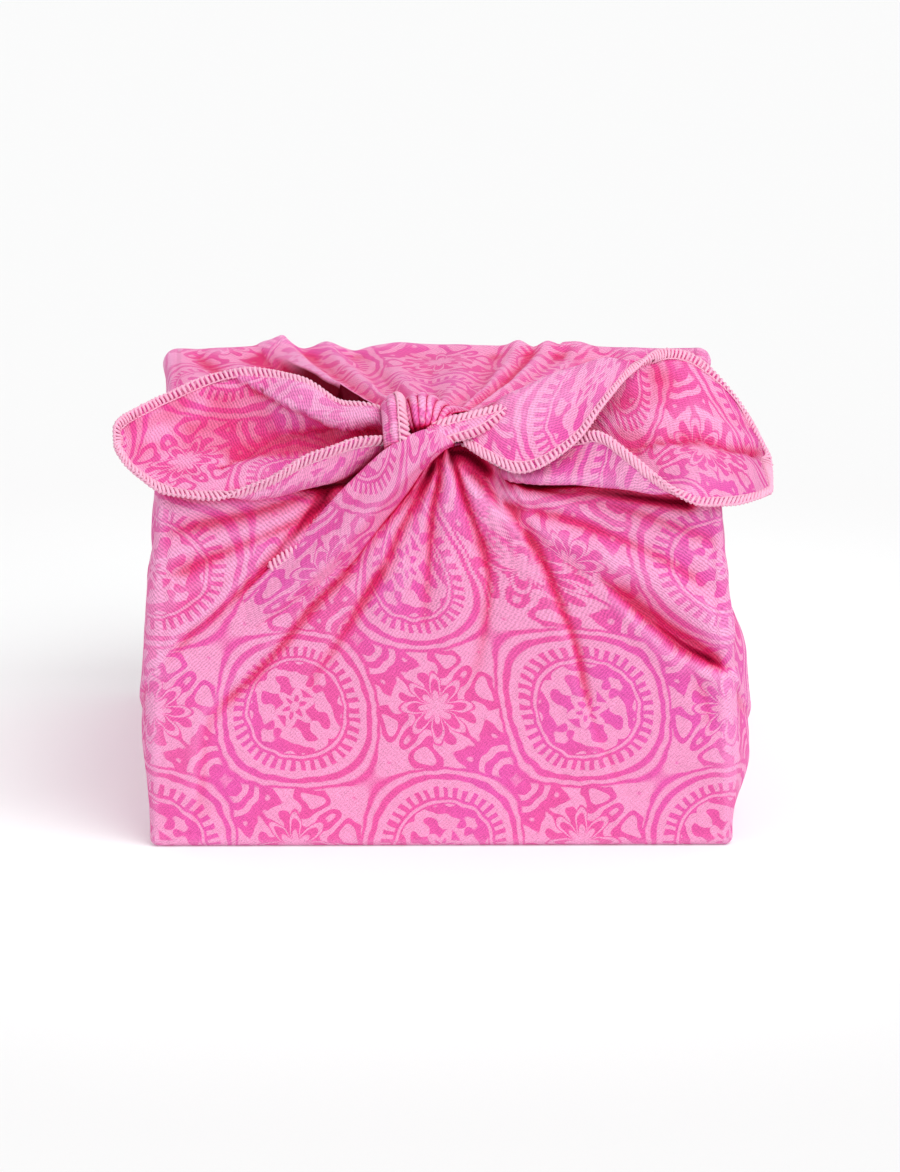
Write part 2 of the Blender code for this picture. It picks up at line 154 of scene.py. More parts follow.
foldShade = {
    "reach": 38.0,           # cloth farther off than this no longer closes a place in
    "rays": 10,              # directions tried from each place
    "lift": 0.5,             # each starts this far off the cloth
    "ears": 0.56,            # the painted shade is lighter on the thin open ears, which let more light through than the wrapped body
    "underside": 0.22,       # painted shade added where the cloth faces down
    "table": 4.0,            # but not below this height
}


def paintEnclosedShade(pieces):
    # how far each place is closed in by the cloth around it, painted into its colour as shade
    reach, rays = foldShade["reach"], foldShade["rays"]
    spots, faces = [], []
    for piece in pieces:
        flat = np.empty(len(piece.data.vertices) * 3, np.float32)
        piece.data.vertices.foreach_get("co", flat)
        spots.append(flat.reshape(-1, 3).astype(float) / mm)
        faces.append([list(f.vertices) for f in piece.data.polygons])
    starts = np.cumsum([0] + [len(some) for some in spots])
    moved = [[n + int(first) for n in f] for first, some in zip(starts, faces) for f in some]
    cast = BVHTree.FromPolygons(np.vstack(spots).tolist(), moved).ray_cast
    turns = np.arange(rays) * 2.399963  # the golden angle spreads the directions evenly
    wide = np.sqrt((np.arange(rays) + 0.5) / rays)
    for piece, places, theirs in zip(pieces, spots, faces):
        flat = np.empty(len(places) * 3, np.float32)
        piece.data.vertices.foreach_get("normal", flat)
        up = flat.reshape(-1, 3).astype(float)
        helper = np.where(np.abs(up[:, 2:3]) < 0.9, [[0.0, 0.0, 1.0]], [[1.0, 0.0, 0.0]])
        one = unit(np.cross(up, helper))
        two = np.cross(up, one)
        origins = (places + up * foldShade["lift"]).tolist()
        blocked = np.zeros(len(places))
        for turn, r in zip(turns, wide):
            directions = one * (r * math.cos(turn)) + two * (r * math.sin(turn)) + up * math.sqrt(1 - r * r)
            hits = [cast(a, b, reach)[3] for a, b in zip(origins, directions.tolist())]
            blocked += [0.0 if d is None else 1.0 - d / reach for d in hits]
        value = blocked / rays * (foldShade["ears"] if "Ear" in piece.name else 1.0)
        value += foldShade["underside"] * np.maximum(-up[:, 2], 0.0) * (places[:, 2] > foldShade["table"])
        value = smoothed(value[:, None], linksOf([f for f in theirs if len(f) < 5]), 2)[:, 0]
        corners = np.empty(len(piece.data.loops), np.int32)
        piece.data.loops.foreach_get("vertex_index", corners)
        field = piece.data.attributes.new("enclosedShade", "FLOAT", "CORNER")
        field.data.foreach_set("value", value[corners].astype(np.float32))
        print(piece.name, "closed in:", np.round(np.percentile(value, (50, 75, 90, 98)), 2))


def makePiece(name, places, faces, material, maps=None):
    # maps: name -> one (u, v) in millimetres of cloth for each corner, or one number for each corner
    mesh = bpy.data.meshes.new(name)
    mesh.from_pydata((np.asarray(places) * mm).tolist(), [], faces)
    for title, values in (maps or {}).items():
        values = np.asarray(values, np.float32)
        if values.ndim == 2:
            field = mesh.uv_layers.new(name=title)
            field.data.foreach_set("uv", (values / uvSpan).ravel())
        else:
            field = mesh.attributes.new(title, "FLOAT", "CORNER")
            field.data.foreach_set("value", values)
    mesh.polygons.foreach_set("use_smooth", [True] * len(mesh.polygons))
    mesh.materials.append(material)
    piece = bpy.data.objects.new(name, mesh)
    bpy.context.collection.objects.link(piece)
    return piece


printLook = {
    "darkPink": (0.830, 0.112, 0.378, 1.0),
    "coolPink": (0.810, 0.118, 0.450, 1.0),     # patches of the dark pink
    "lightPink": (0.915, 0.345, 0.590, 1.0),
    "creaseShadeColour": (0.710, 0.020, 0.120, 1.0),   # painted shade down in a fold
    "crestHighlightColour": (0.930, 0.440, 0.730, 1.0),    # painted highlight up on a fold
    "bounceShadeColour": (0.970, 0.360, 0.560, 1.0),       # painted shade: what one bounce of light between folds does to the colour
    # painted shadow, near black, in the gaps and in the hollow inside
    "gapShadowColour": (0.150, 0.001, 0.012, 1.0),
    "gleam": (1.0, 0.14, 0.40, 1.0),
    "roughness": 0.55, "hiddenRoughness": 0.9, "specular": 0.06,
    "coolPatches": (0.016, 0.53, 0.25),   # their scale, and where they start and how softly
    "ribPitch": 1.0,        # one wale of the knit
    "loopPitch": 1.5,       # one loop along a wale
    "ribHeight": 0.16, "loopShare": 0.35,
    "wobble": (0.45, 0.9),
    "grain": (2.3, 0.25), "wrinkles": (0.13, 2.0),   # scale and height
    "relief": (0.7, 0.001),
    # painted shadow where the cloth is hidden deep in: from how closed in, and its share; then how much painted
    # crease shade comes from the creases and from that shadow
    "shadowFrom": (0.60, 0.40), "shadowShare": 0.90,
    "creaseShadeShare": 0.80, "hiddenShadeShare": 1.8,
    # slope and start of each: the painted highlight and painted bounce shade with how closed in the cloth is, the
    # painted gap shadow with how hidden, and the knit's tone with how drawn it is
    "crestHighlight": (-0.75, 0.50), "bounceShade": (1.9, -0.10), "dark": (1.7, -0.70),
    "patchy": (0.18, 0.90), "ribTone": (0.10, 0.055), "grainTone": (-0.16, 0.60),
}


medallion = {
    "repeat": 74.0,         # millimetres from one medallion to the next
    "handDrawn": 3.4,       # how far the drawing wanders
    "softness": 0.048,      # of the drawn edges, in heights
    "fineEdge": 0.008,      # of the leaves and the rosette, in repeats
    # bands between two heights: these run from -1.5 where four medallions meet to 2.5 in their middle
    "thinLine": (-0.40, -0.24), "border": (-0.02, 0.30), "teeth": (0.26, 0.78), "innerLine": (0.92, 1.06),
    "scrolls": (1.14, 2.2), "outerScrolls": -0.50,
    "toothCount": 40.0,
    "scrollScale": 5.6, "scrollLines": 4.7,
    "petals": 6.0, "petalDepth": 0.022, "petalReach": 0.085, "petalLine": (-0.045, 0.0), "dot": 0.022,
    "leafTurns": 4.0, "leafDepth": 0.135, "leafReach": 0.045, "leafLine": (-0.030, 0.0), "leafClear": 0.014,
}


class finishMixer:
    # writes the sums of one finish in a readable way
    def __init__(self, material):
        material.use_nodes = True
        self.tree = material.node_tree

    def node(self, kind, **settings):
        made = self.tree.nodes.new(kind)
        for title, value in settings.items():
            setattr(made, title, value)
        return made

    def join(self, source, target):
        self.tree.links.new(source, target)

    def fill(self, made, *values):
        for socket, value in zip(made.inputs, values):
            if value is None:
                continue
            if isinstance(value, (int, float)):
                socket.default_value = value
            else:
                self.join(value, socket)
        return made

    def sum(self, operation, *values, clamp=False):
        made = self.node("ShaderNodeMath", operation=operation, use_clamp=clamp)
        return self.fill(made, *values).outputs[0]

    def above(self, value, limit, softness):
        # 0 below the limit, 1 above it
        return self.sum("MULTIPLY_ADD", value, 1.0 / softness, 0.5 - limit / softness, clamp=True)

    def between(self, value, low, high, softness):
        return self.sum("MULTIPLY", self.above(value, low, softness),
                        self.sum("SUBTRACT", 1.0, self.above(value, high, softness)))

    def union(self, first, *others):
        for other in others:
            first = self.sum("MAXIMUM", first, other)
        return first

    def pair(self, x, y, z=0.0):
        made = self.node("ShaderNodeCombineXYZ")
        return self.fill(made, x, y, z).outputs[0]

    def noise(self, where, scale, detail=0.0, roughness=0.5):
        made = self.node("ShaderNodeTexNoise")
        self.join(where, made.inputs["Vector"])
        made.inputs["Scale"].default_value = scale
        made.inputs["Detail"].default_value = detail
        made.inputs["Roughness"].default_value = roughness
        return made.outputs[0]


def clothPlace(mix):
    # place on the flat cloth, in millimetres, of the layer that is uppermost here
    mainMap = mix.node("ShaderNodeUVMap", uv_map="clothMain").outputs[0]
    sideMap = mix.node("ShaderNodeUVMap", uv_map="clothSide").outputs[0]
    lap = mix.node("ShaderNodeAttribute", attribute_name="lap").outputs["Fac"]
    choose = mix.node("ShaderNodeMix", data_type="VECTOR")
    mix.join(mix.above(lap, 0.0, 0.02), choose.inputs["Factor"])
    mix.join(mainMap, choose.inputs[4])
    mix.join(sideMap, choose.inputs[5])
    grown = mix.node("ShaderNodeVectorMath", operation="SCALE")
    mix.join(choose.outputs[1], grown.inputs[0])
    grown.inputs["Scale"].default_value = uvSpan
    return grown.outputs[0]


def printMask(mix, place):
    # the two-tone print: round-cornered medallions with a comb border, scrolls and sprays between them
    look = medallion
    split = mix.node("ShaderNodeSeparateXYZ")
    mix.join(place, split.inputs[0])
    x, y = split.outputs[0], split.outputs[1]
    wander = mix.sum("MULTIPLY_ADD", mix.noise(place, 0.022), 2 * look["handDrawn"], -look["handDrawn"])
    shaky = mix.sum("MULTIPLY_ADD", mix.noise(place, 0.21), 1.5, -0.75)
    x = mix.sum("ADD", x, mix.sum("ADD", wander, shaky))
    y = mix.sum("ADD", y, mix.sum("SUBTRACT", wander, shaky))
    turn = diagonal / look["repeat"]
    s = mix.sum("MULTIPLY", mix.sum("ADD", x, y), turn)
    t = mix.sum("MULTIPLY", mix.sum("SUBTRACT", x, y), turn)
    cellS = mix.sum("SUBTRACT", s, mix.sum("ROUND", s))
    cellT = mix.sum("SUBTRACT", t, mix.sum("ROUND", t))
    waveS = mix.sum("COSINE", mix.sum("MULTIPLY", cellS, 2 * math.pi))
    waveT = mix.sum("COSINE", mix.sum("MULTIPLY", cellT, 2 * math.pi))
    field = mix.sum("ADD", mix.sum("ADD", waveS, waveT), mix.sum("MULTIPLY", mix.sum("MULTIPLY", waveS, waveT), 0.5))
    angle = mix.sum("ARCTAN2", cellT, cellS)
    soft, fine = look["softness"], look["fineEdge"]

    border = mix.between(field, *look["border"], soft)
    thinLine = mix.between(field, *look["thinLine"], soft)
    teeth = mix.sum("MULTIPLY", mix.between(field, *look["teeth"], soft),
                    mix.above(mix.sum("SINE", mix.sum("MULTIPLY", angle, look["toothCount"])), 0.0, 0.5))
    innerLine = mix.between(field, *look["innerLine"], soft)

    # mirrored scrollwork inside and outside the medallions: nested curling outlines
    mirrored = mix.pair(mix.sum("ABSOLUTE", cellS), mix.sum("ABSOLUTE", cellT))
    swirl = mix.noise(mirrored, look["scrollScale"], 1.0, 0.45)
    fillIn = mix.above(mix.sum("SINE", mix.sum("MULTIPLY", swirl, 2 * math.pi * look["scrollLines"])), -0.05, 0.30)

    # a spray of eight leaves where four medallions meet
    leafS = mix.sum("SUBTRACT", 0.5, mix.sum("ABSOLUTE", cellS))
    leafT = mix.sum("SUBTRACT", 0.5, mix.sum("ABSOLUTE", cellT))
    leafFar = mix.sum("SQRT", mix.sum("ADD", mix.sum("MULTIPLY", leafS, leafS), mix.sum("MULTIPLY", leafT, leafT)))
    leafTurn = mix.sum("MULTIPLY", mix.sum("ARCTAN2", leafT, leafS), look["leafTurns"])
    leafEdge = mix.sum("MULTIPLY_ADD", mix.sum("ABSOLUTE", mix.sum("COSINE", leafTurn)),
                       look["leafDepth"], look["leafReach"])
    leafRing = mix.between(mix.sum("SUBTRACT", leafFar, leafEdge), *look["leafLine"], fine)
    leafPast = mix.sum("SUBTRACT", leafFar, mix.sum("MULTIPLY", leafEdge, 0.5))
    leafHeart = mix.sum("SUBTRACT", 1.0, mix.above(leafPast, 0.0, fine))
    leafField = mix.above(mix.sum("SUBTRACT", leafFar, leafEdge), look["leafClear"], fine)
    inside = mix.sum("MULTIPLY", fillIn, mix.between(field, *look["scrolls"], soft))
    outside = mix.sum("MULTIPLY", fillIn, mix.sum("SUBTRACT", 1.0, mix.above(field, look["outerScrolls"], soft)))
    outside = mix.union(mix.sum("MULTIPLY", outside, leafField), leafRing, leafHeart)

    # rosette in the middle of each medallion
    radius = mix.sum("SQRT", mix.sum("ADD", mix.sum("MULTIPLY", cellS, cellS), mix.sum("MULTIPLY", cellT, cellT)))
    petal = mix.sum("MULTIPLY_ADD", mix.sum("COSINE", mix.sum("MULTIPLY", angle, look["petals"])),
                    look["petalDepth"], look["petalReach"])
    ring = mix.between(mix.sum("SUBTRACT", radius, petal), *look["petalLine"], fine)
    dot = mix.sum("SUBTRACT", 1.0, mix.above(radius, look["dot"], fine))
    return mix.sum("MINIMUM", mix.union(border, thinLine, teeth, innerLine, inside, outside, ring, dot), 1.0)


def makePrintedKnit():
    look = printLook
    material = bpy.data.materials.new("printedKnit")
    mix = finishMixer(material)
    shader = mix.tree.nodes["Principled BSDF"]
    place = clothPlace(mix)
    mask = printMask(mix, place)
    ground = mix.node("ShaderNodeMix", data_type="RGBA")
    scale, start, softness = look["coolPatches"]
    mix.join(mix.above(mix.noise(place, scale, 1.0), start, softness), ground.inputs["Factor"])
    ground.inputs[6].default_value = look["darkPink"]
    ground.inputs[7].default_value = look["coolPink"]
    blend = mix.node("ShaderNodeMix", data_type="RGBA")
    mix.join(mask, blend.inputs["Factor"])
    mix.join(ground.outputs[2], blend.inputs[6])
    blend.inputs[7].default_value = look["lightPink"]

    # fine wales of the knit, slanted across the cloth, and the grain of its yarn
    split = mix.node("ShaderNodeSeparateXYZ")
    mix.join(place, split.inputs[0])
    wobble = mix.sum("MULTIPLY", mix.noise(place, look["wobble"][0]), look["wobble"][1])
    slant = mix.sum("MULTIPLY", mix.sum("ADD", split.outputs[0], split.outputs[1]), diagonal)
    across = mix.sum("MULTIPLY", mix.sum("SUBTRACT", split.outputs[0], split.outputs[1]), diagonal)
    wales = mix.sum("SINE", mix.sum("MULTIPLY", mix.sum("ADD", slant, wobble), 2 * math.pi / look["ribPitch"]))
    loops = mix.sum("SINE", mix.sum("MULTIPLY", mix.sum("ADD", across, wobble), 2 * math.pi / look["loopPitch"]))
    knit = mix.sum("ADD", wales, mix.sum("MULTIPLY", loops, look["loopShare"]))
    grain = mix.sum("MULTIPLY_ADD", mix.noise(place, look["grain"][0], 2.0, 0.75), 2.0, -1.0)
    wrinkles = mix.noise(place, look["wrinkles"][0], 3.0, 0.55)
    relief = mix.sum("ADD", mix.sum("MULTIPLY", knit, look["ribHeight"]),
                     mix.sum("ADD", mix.sum("MULTIPLY", wrinkles, look["wrinkles"][1]),
                             mix.sum("MULTIPLY", grain, look["grain"][1])))
    bump = mix.node("ShaderNodeBump")
    bump.inputs["Strength"].default_value, bump.inputs["Distance"].default_value = look["relief"]
    mix.join(relief, bump.inputs["Height"])
    mix.join(bump.outputs[0], shader.inputs["Normal"])

    # the colour has a painted highlight on the crests of the folds, painted shade where the cloth is tucked in, and
    # painted shadow in gaps
    creaseShadeFac = mix.node("ShaderNodeAttribute", attribute_name="creaseShade").outputs["Fac"]
    shadowedSlit = mix.node("ShaderNodeAttribute", attribute_name="gap").outputs["Fac"]
    enclosedShade = mix.node("ShaderNodeAttribute", attribute_name="enclosedShade").outputs["Fac"]
    # painted shadow where the cloth is hidden: in the gaps, and where it is most closed in
    hidden = mix.sum("MAXIMUM", shadowedSlit,
                     mix.sum("MULTIPLY", mix.above(enclosedShade, *look["shadowFrom"]), look["shadowShare"]))
    creaseShadeMix = mix.node("ShaderNodeMix", data_type="RGBA")
    mix.join(mix.sum("MAXIMUM", mix.sum("MULTIPLY", creaseShadeFac, look["creaseShadeShare"]),
                     mix.sum("MULTIPLY", hidden, look["hiddenShadeShare"]), clamp=True), creaseShadeMix.inputs["Factor"])
    mix.join(blend.outputs[2], creaseShadeMix.inputs[6])
    creaseShadeMix.inputs[7].default_value = look["creaseShadeColour"]
    crown = mix.node("ShaderNodeAttribute", attribute_name="crown").outputs["Fac"]
    highlightMix = mix.node("ShaderNodeMix", data_type="RGBA")
    crestHighlight = mix.sum("MULTIPLY_ADD", enclosedShade, *look["crestHighlight"], clamp=True)
    mix.join(mix.sum("MULTIPLY", crown, crestHighlight, clamp=True), highlightMix.inputs["Factor"])
    mix.join(creaseShadeMix.outputs[2], highlightMix.inputs[6])
    highlightMix.inputs[7].default_value = look["crestHighlightColour"]
    # painted shade of light bounced between the folds, by how closed in the cloth is
    bounceShade = mix.node("ShaderNodeMix", data_type="RGBA", blend_type="MULTIPLY")
    mix.join(mix.sum("MULTIPLY_ADD", enclosedShade, *look["bounceShade"], clamp=True), bounceShade.inputs["Factor"])
    mix.join(highlightMix.outputs[2], bounceShade.inputs[6])
    bounceShade.inputs[7].default_value = look["bounceShadeColour"]
    # painted shadow, near black, in the gaps and deep hollows
    gapShadowMix = mix.node("ShaderNodeMix", data_type="RGBA")
    mix.join(mix.sum("MULTIPLY_ADD", hidden, *look["dark"], clamp=True), gapShadowMix.inputs["Factor"])
    mix.join(bounceShade.outputs[2], gapShadowMix.inputs[6])
    gapShadowMix.inputs[7].default_value = look["gapShadowColour"]
    patchy = mix.sum("MULTIPLY_ADD", mix.noise(place, 0.3, 2.0, 0.6), *look["patchy"])
    ribs = mix.node("ShaderNodeAttribute", attribute_name="drawn").outputs["Fac"]
    ribbing = mix.sum("MULTIPLY", knit, mix.sum("MULTIPLY_ADD", ribs, *look["ribTone"]))
    grainy = mix.sum("MULTIPLY", grain, mix.sum("MULTIPLY_ADD", ribs, *look["grainTone"]))
    tone = mix.sum("ADD", mix.sum("ADD", ribbing, patchy), grainy)
    shade = mix.node("ShaderNodeVectorMath", operation="SCALE")
    mix.join(gapShadowMix.outputs[2], shade.inputs[0])
    mix.join(tone, shade.inputs["Scale"])
    mix.join(shade.outputs[0], shader.inputs["Base Color"])
    mix.join(mix.sum("MULTIPLY_ADD", hidden, look["hiddenRoughness"], look["roughness"], clamp=True),
             shader.inputs["Roughness"])
    shader.inputs["Specular IOR Level"].default_value = look["specular"]
    shader.inputs["Specular Tint"].default_value = look["gleam"]
    return material


threadLook = {
    "dark": (0.820, 0.290, 0.470, 1.0), "light": (0.950, 0.560, 0.720, 1.0), "roughness": 0.6,
    "fuzz": 900.0, "relief": (0.4, 0.0003), "sheen": 0.1,
}


def makeThread():
    material = bpy.data.materials.new("paleThread")
    mix = finishMixer(material)
    shader = mix.tree.nodes["Principled BSDF"]
    where = mix.node("ShaderNodeTexCoord").outputs["Object"]
    fuzz = mix.noise(where, threadLook["fuzz"], 2.0, 0.6)
    blend = mix.node("ShaderNodeMix", data_type="RGBA")
    mix.join(fuzz, blend.inputs["Factor"])
    blend.inputs[6].default_value = threadLook["dark"]
    blend.inputs[7].default_value = threadLook["light"]
    mix.join(blend.outputs[2], shader.inputs["Base Color"])
    bump = mix.node("ShaderNodeBump")
    bump.inputs["Strength"].default_value, bump.inputs["Distance"].default_value = threadLook["relief"]
    mix.join(fuzz, bump.inputs["Height"])
    mix.join(bump.outputs[0], shader.inputs["Normal"])
    shader.inputs["Roughness"].default_value = threadLook["roughness"]
    shader.inputs["Sheen Weight"].default_value = threadLook["sheen"]
    return material


printedKnit = makePrintedKnit()
paleThread = makeThread()
print("finishes made")


wrap = {
    "widthBottom": 210.0, "widthTop": 202.0, "depth": 210.0, "height": 133.0,
    "edgeRadius": 3.2,
    "inside": 2.8,           # outer face to the inner one
    "backRise": 1.2, "knotRise": 22.0, "knotY": -90.0,
    "leftBack": -66.0, "leftKnot": -17.0, "rightBack": 53.0, "rightKnot": 12.0,
    "flankBack": 4.0, "flankKnot": 14.0,
    "frontRise": 15.0, "frontRiseFoot": 92.0,
    "gatherKnot": 0.742, "gatherEdge": 0.50, "gatherDrop": 48.0, "gatherFlat": 64.0,
    "gapStart": 0.60, "gapEnd": 0.74,                  # the open slot under that border, along the strand
    "gapX": (-71.5, -66.5), "gapInside": (-43, -33),   # its sides outside and in, before the cloth is gathered
    "knotX": -1.0, "knotZ": 150.0,
    "calm": 14.0,            # the folds fade out over this height above the table
    "cornerCalm": (0.65, 95.0, 8.0),   # share lost by the front's folds near its upright edges: from x, and over
    "uneven": ((0.28, 34.0, 3), (0.10, 11.0, 5)),   # height, length and seed of the small unevenness
    "deepest": -1.7,
}
lip = {
    "over": 0.62,            # how far the strand's left border hangs over its own flank
    "overFrom": (0.25, 0.5), "lipShadowFrom": (0.02, 0.36),   # share of the strand where the overhang and its painted shadow begin, and grow over
    "lipShadowAbove": (0.20, 0.12), "lipShadowPast": (1.0, 7.0),   # how far up the flank the painted shadow reaches, and on the top beside it
    # gain and start of the painted shadow in the slits, and painted shade over the whole top
    "slitShadowGain": (1.5, 0.25), "topShade": 0.15,
}
bodyMesh = {
    "cell": 1.15,            # spacing of the mesh where the folds are
    "middle": (-62, 58), "sides": 1.6,   # the folds lie between these, and the spacing beside them
    "alongTop": (1.1, 2.2),              # the spacing at the front of the top and sides, and behind it
    "upright": (1.8, 54, 1.12),          # the spacing low down, up to this height, and above it
    "inner": (22, 9),                    # places across and up the hollow
    "reliefSizes": (1.4, 4.5), "footFade": 6.0,
    "drawn": (50.0, 0.25, 55.0, 0.75),   # the front's wales are drawn tight: from, bend, over; and elsewhere
}


def strandShare(y):
    back = wrap["depth"] / 2
    return np.clip((back - y) / (back - wrap["knotY"]), 0.0, 1.0)


def strandSides(y):
    share = strandShare(y)
    left = wrap["leftBack"] + (wrap["leftKnot"] - wrap["leftBack"]) * share
    right = wrap["rightBack"] + (wrap["rightKnot"] - wrap["rightBack"]) * share
    flank = wrap["flankBack"] + (wrap["flankKnot"] - wrap["flankBack"]) * ease((share - 0.8) / 0.2)
    return left, right, flank


def strandLift(x, y, inset=0.0):
    share = strandShare(y)
    left, right, flank = strandSides(y)
    rise = wrap["backRise"] + (wrap["knotRise"] - wrap["backRise"]) * share
    nose = ease((wrap["knotY"] - y) / (wrap["depth"] / 2 + wrap["knotY"]))
    rise = rise + (wrap["frontRise"] - wrap["knotRise"]) * nose
    down = np.maximum((left + inset - x) / flank, (x - right + inset) / (flank + wrap["flankBack"]))
    return rise * (1.0 - ease(down))


def gather(places):
    x, y, z = places.T
    depth, height = wrap["depth"], wrap["height"]
    toEdge = ease((wrap["knotY"] - y) / (depth / 2 + wrap["knotY"]))
    onTop = wrap["gatherKnot"] * strandShare(y) + (wrap["gatherEdge"] - wrap["gatherKnot"]) * toEdge
    drop = np.clip(1.0 - (height - z) / wrap["gatherDrop"], 0.0, 1.0)
    onTop = np.where(z > height - wrap["edgeRadius"], onTop, 0.0)
    onFront = np.where(y < -depth / 2 + wrap["edgeRadius"], wrap["gatherEdge"], onTop)
    amount = np.where(z > height - 1e-6, onTop, onFront * drop)
    half = wrap["widthBottom"] / 2
    reach = ease((half - np.abs(x)) / (half - wrap["gatherFlat"]))
    return np.stack([x * (1.0 - amount * reach), y, z], axis=1)
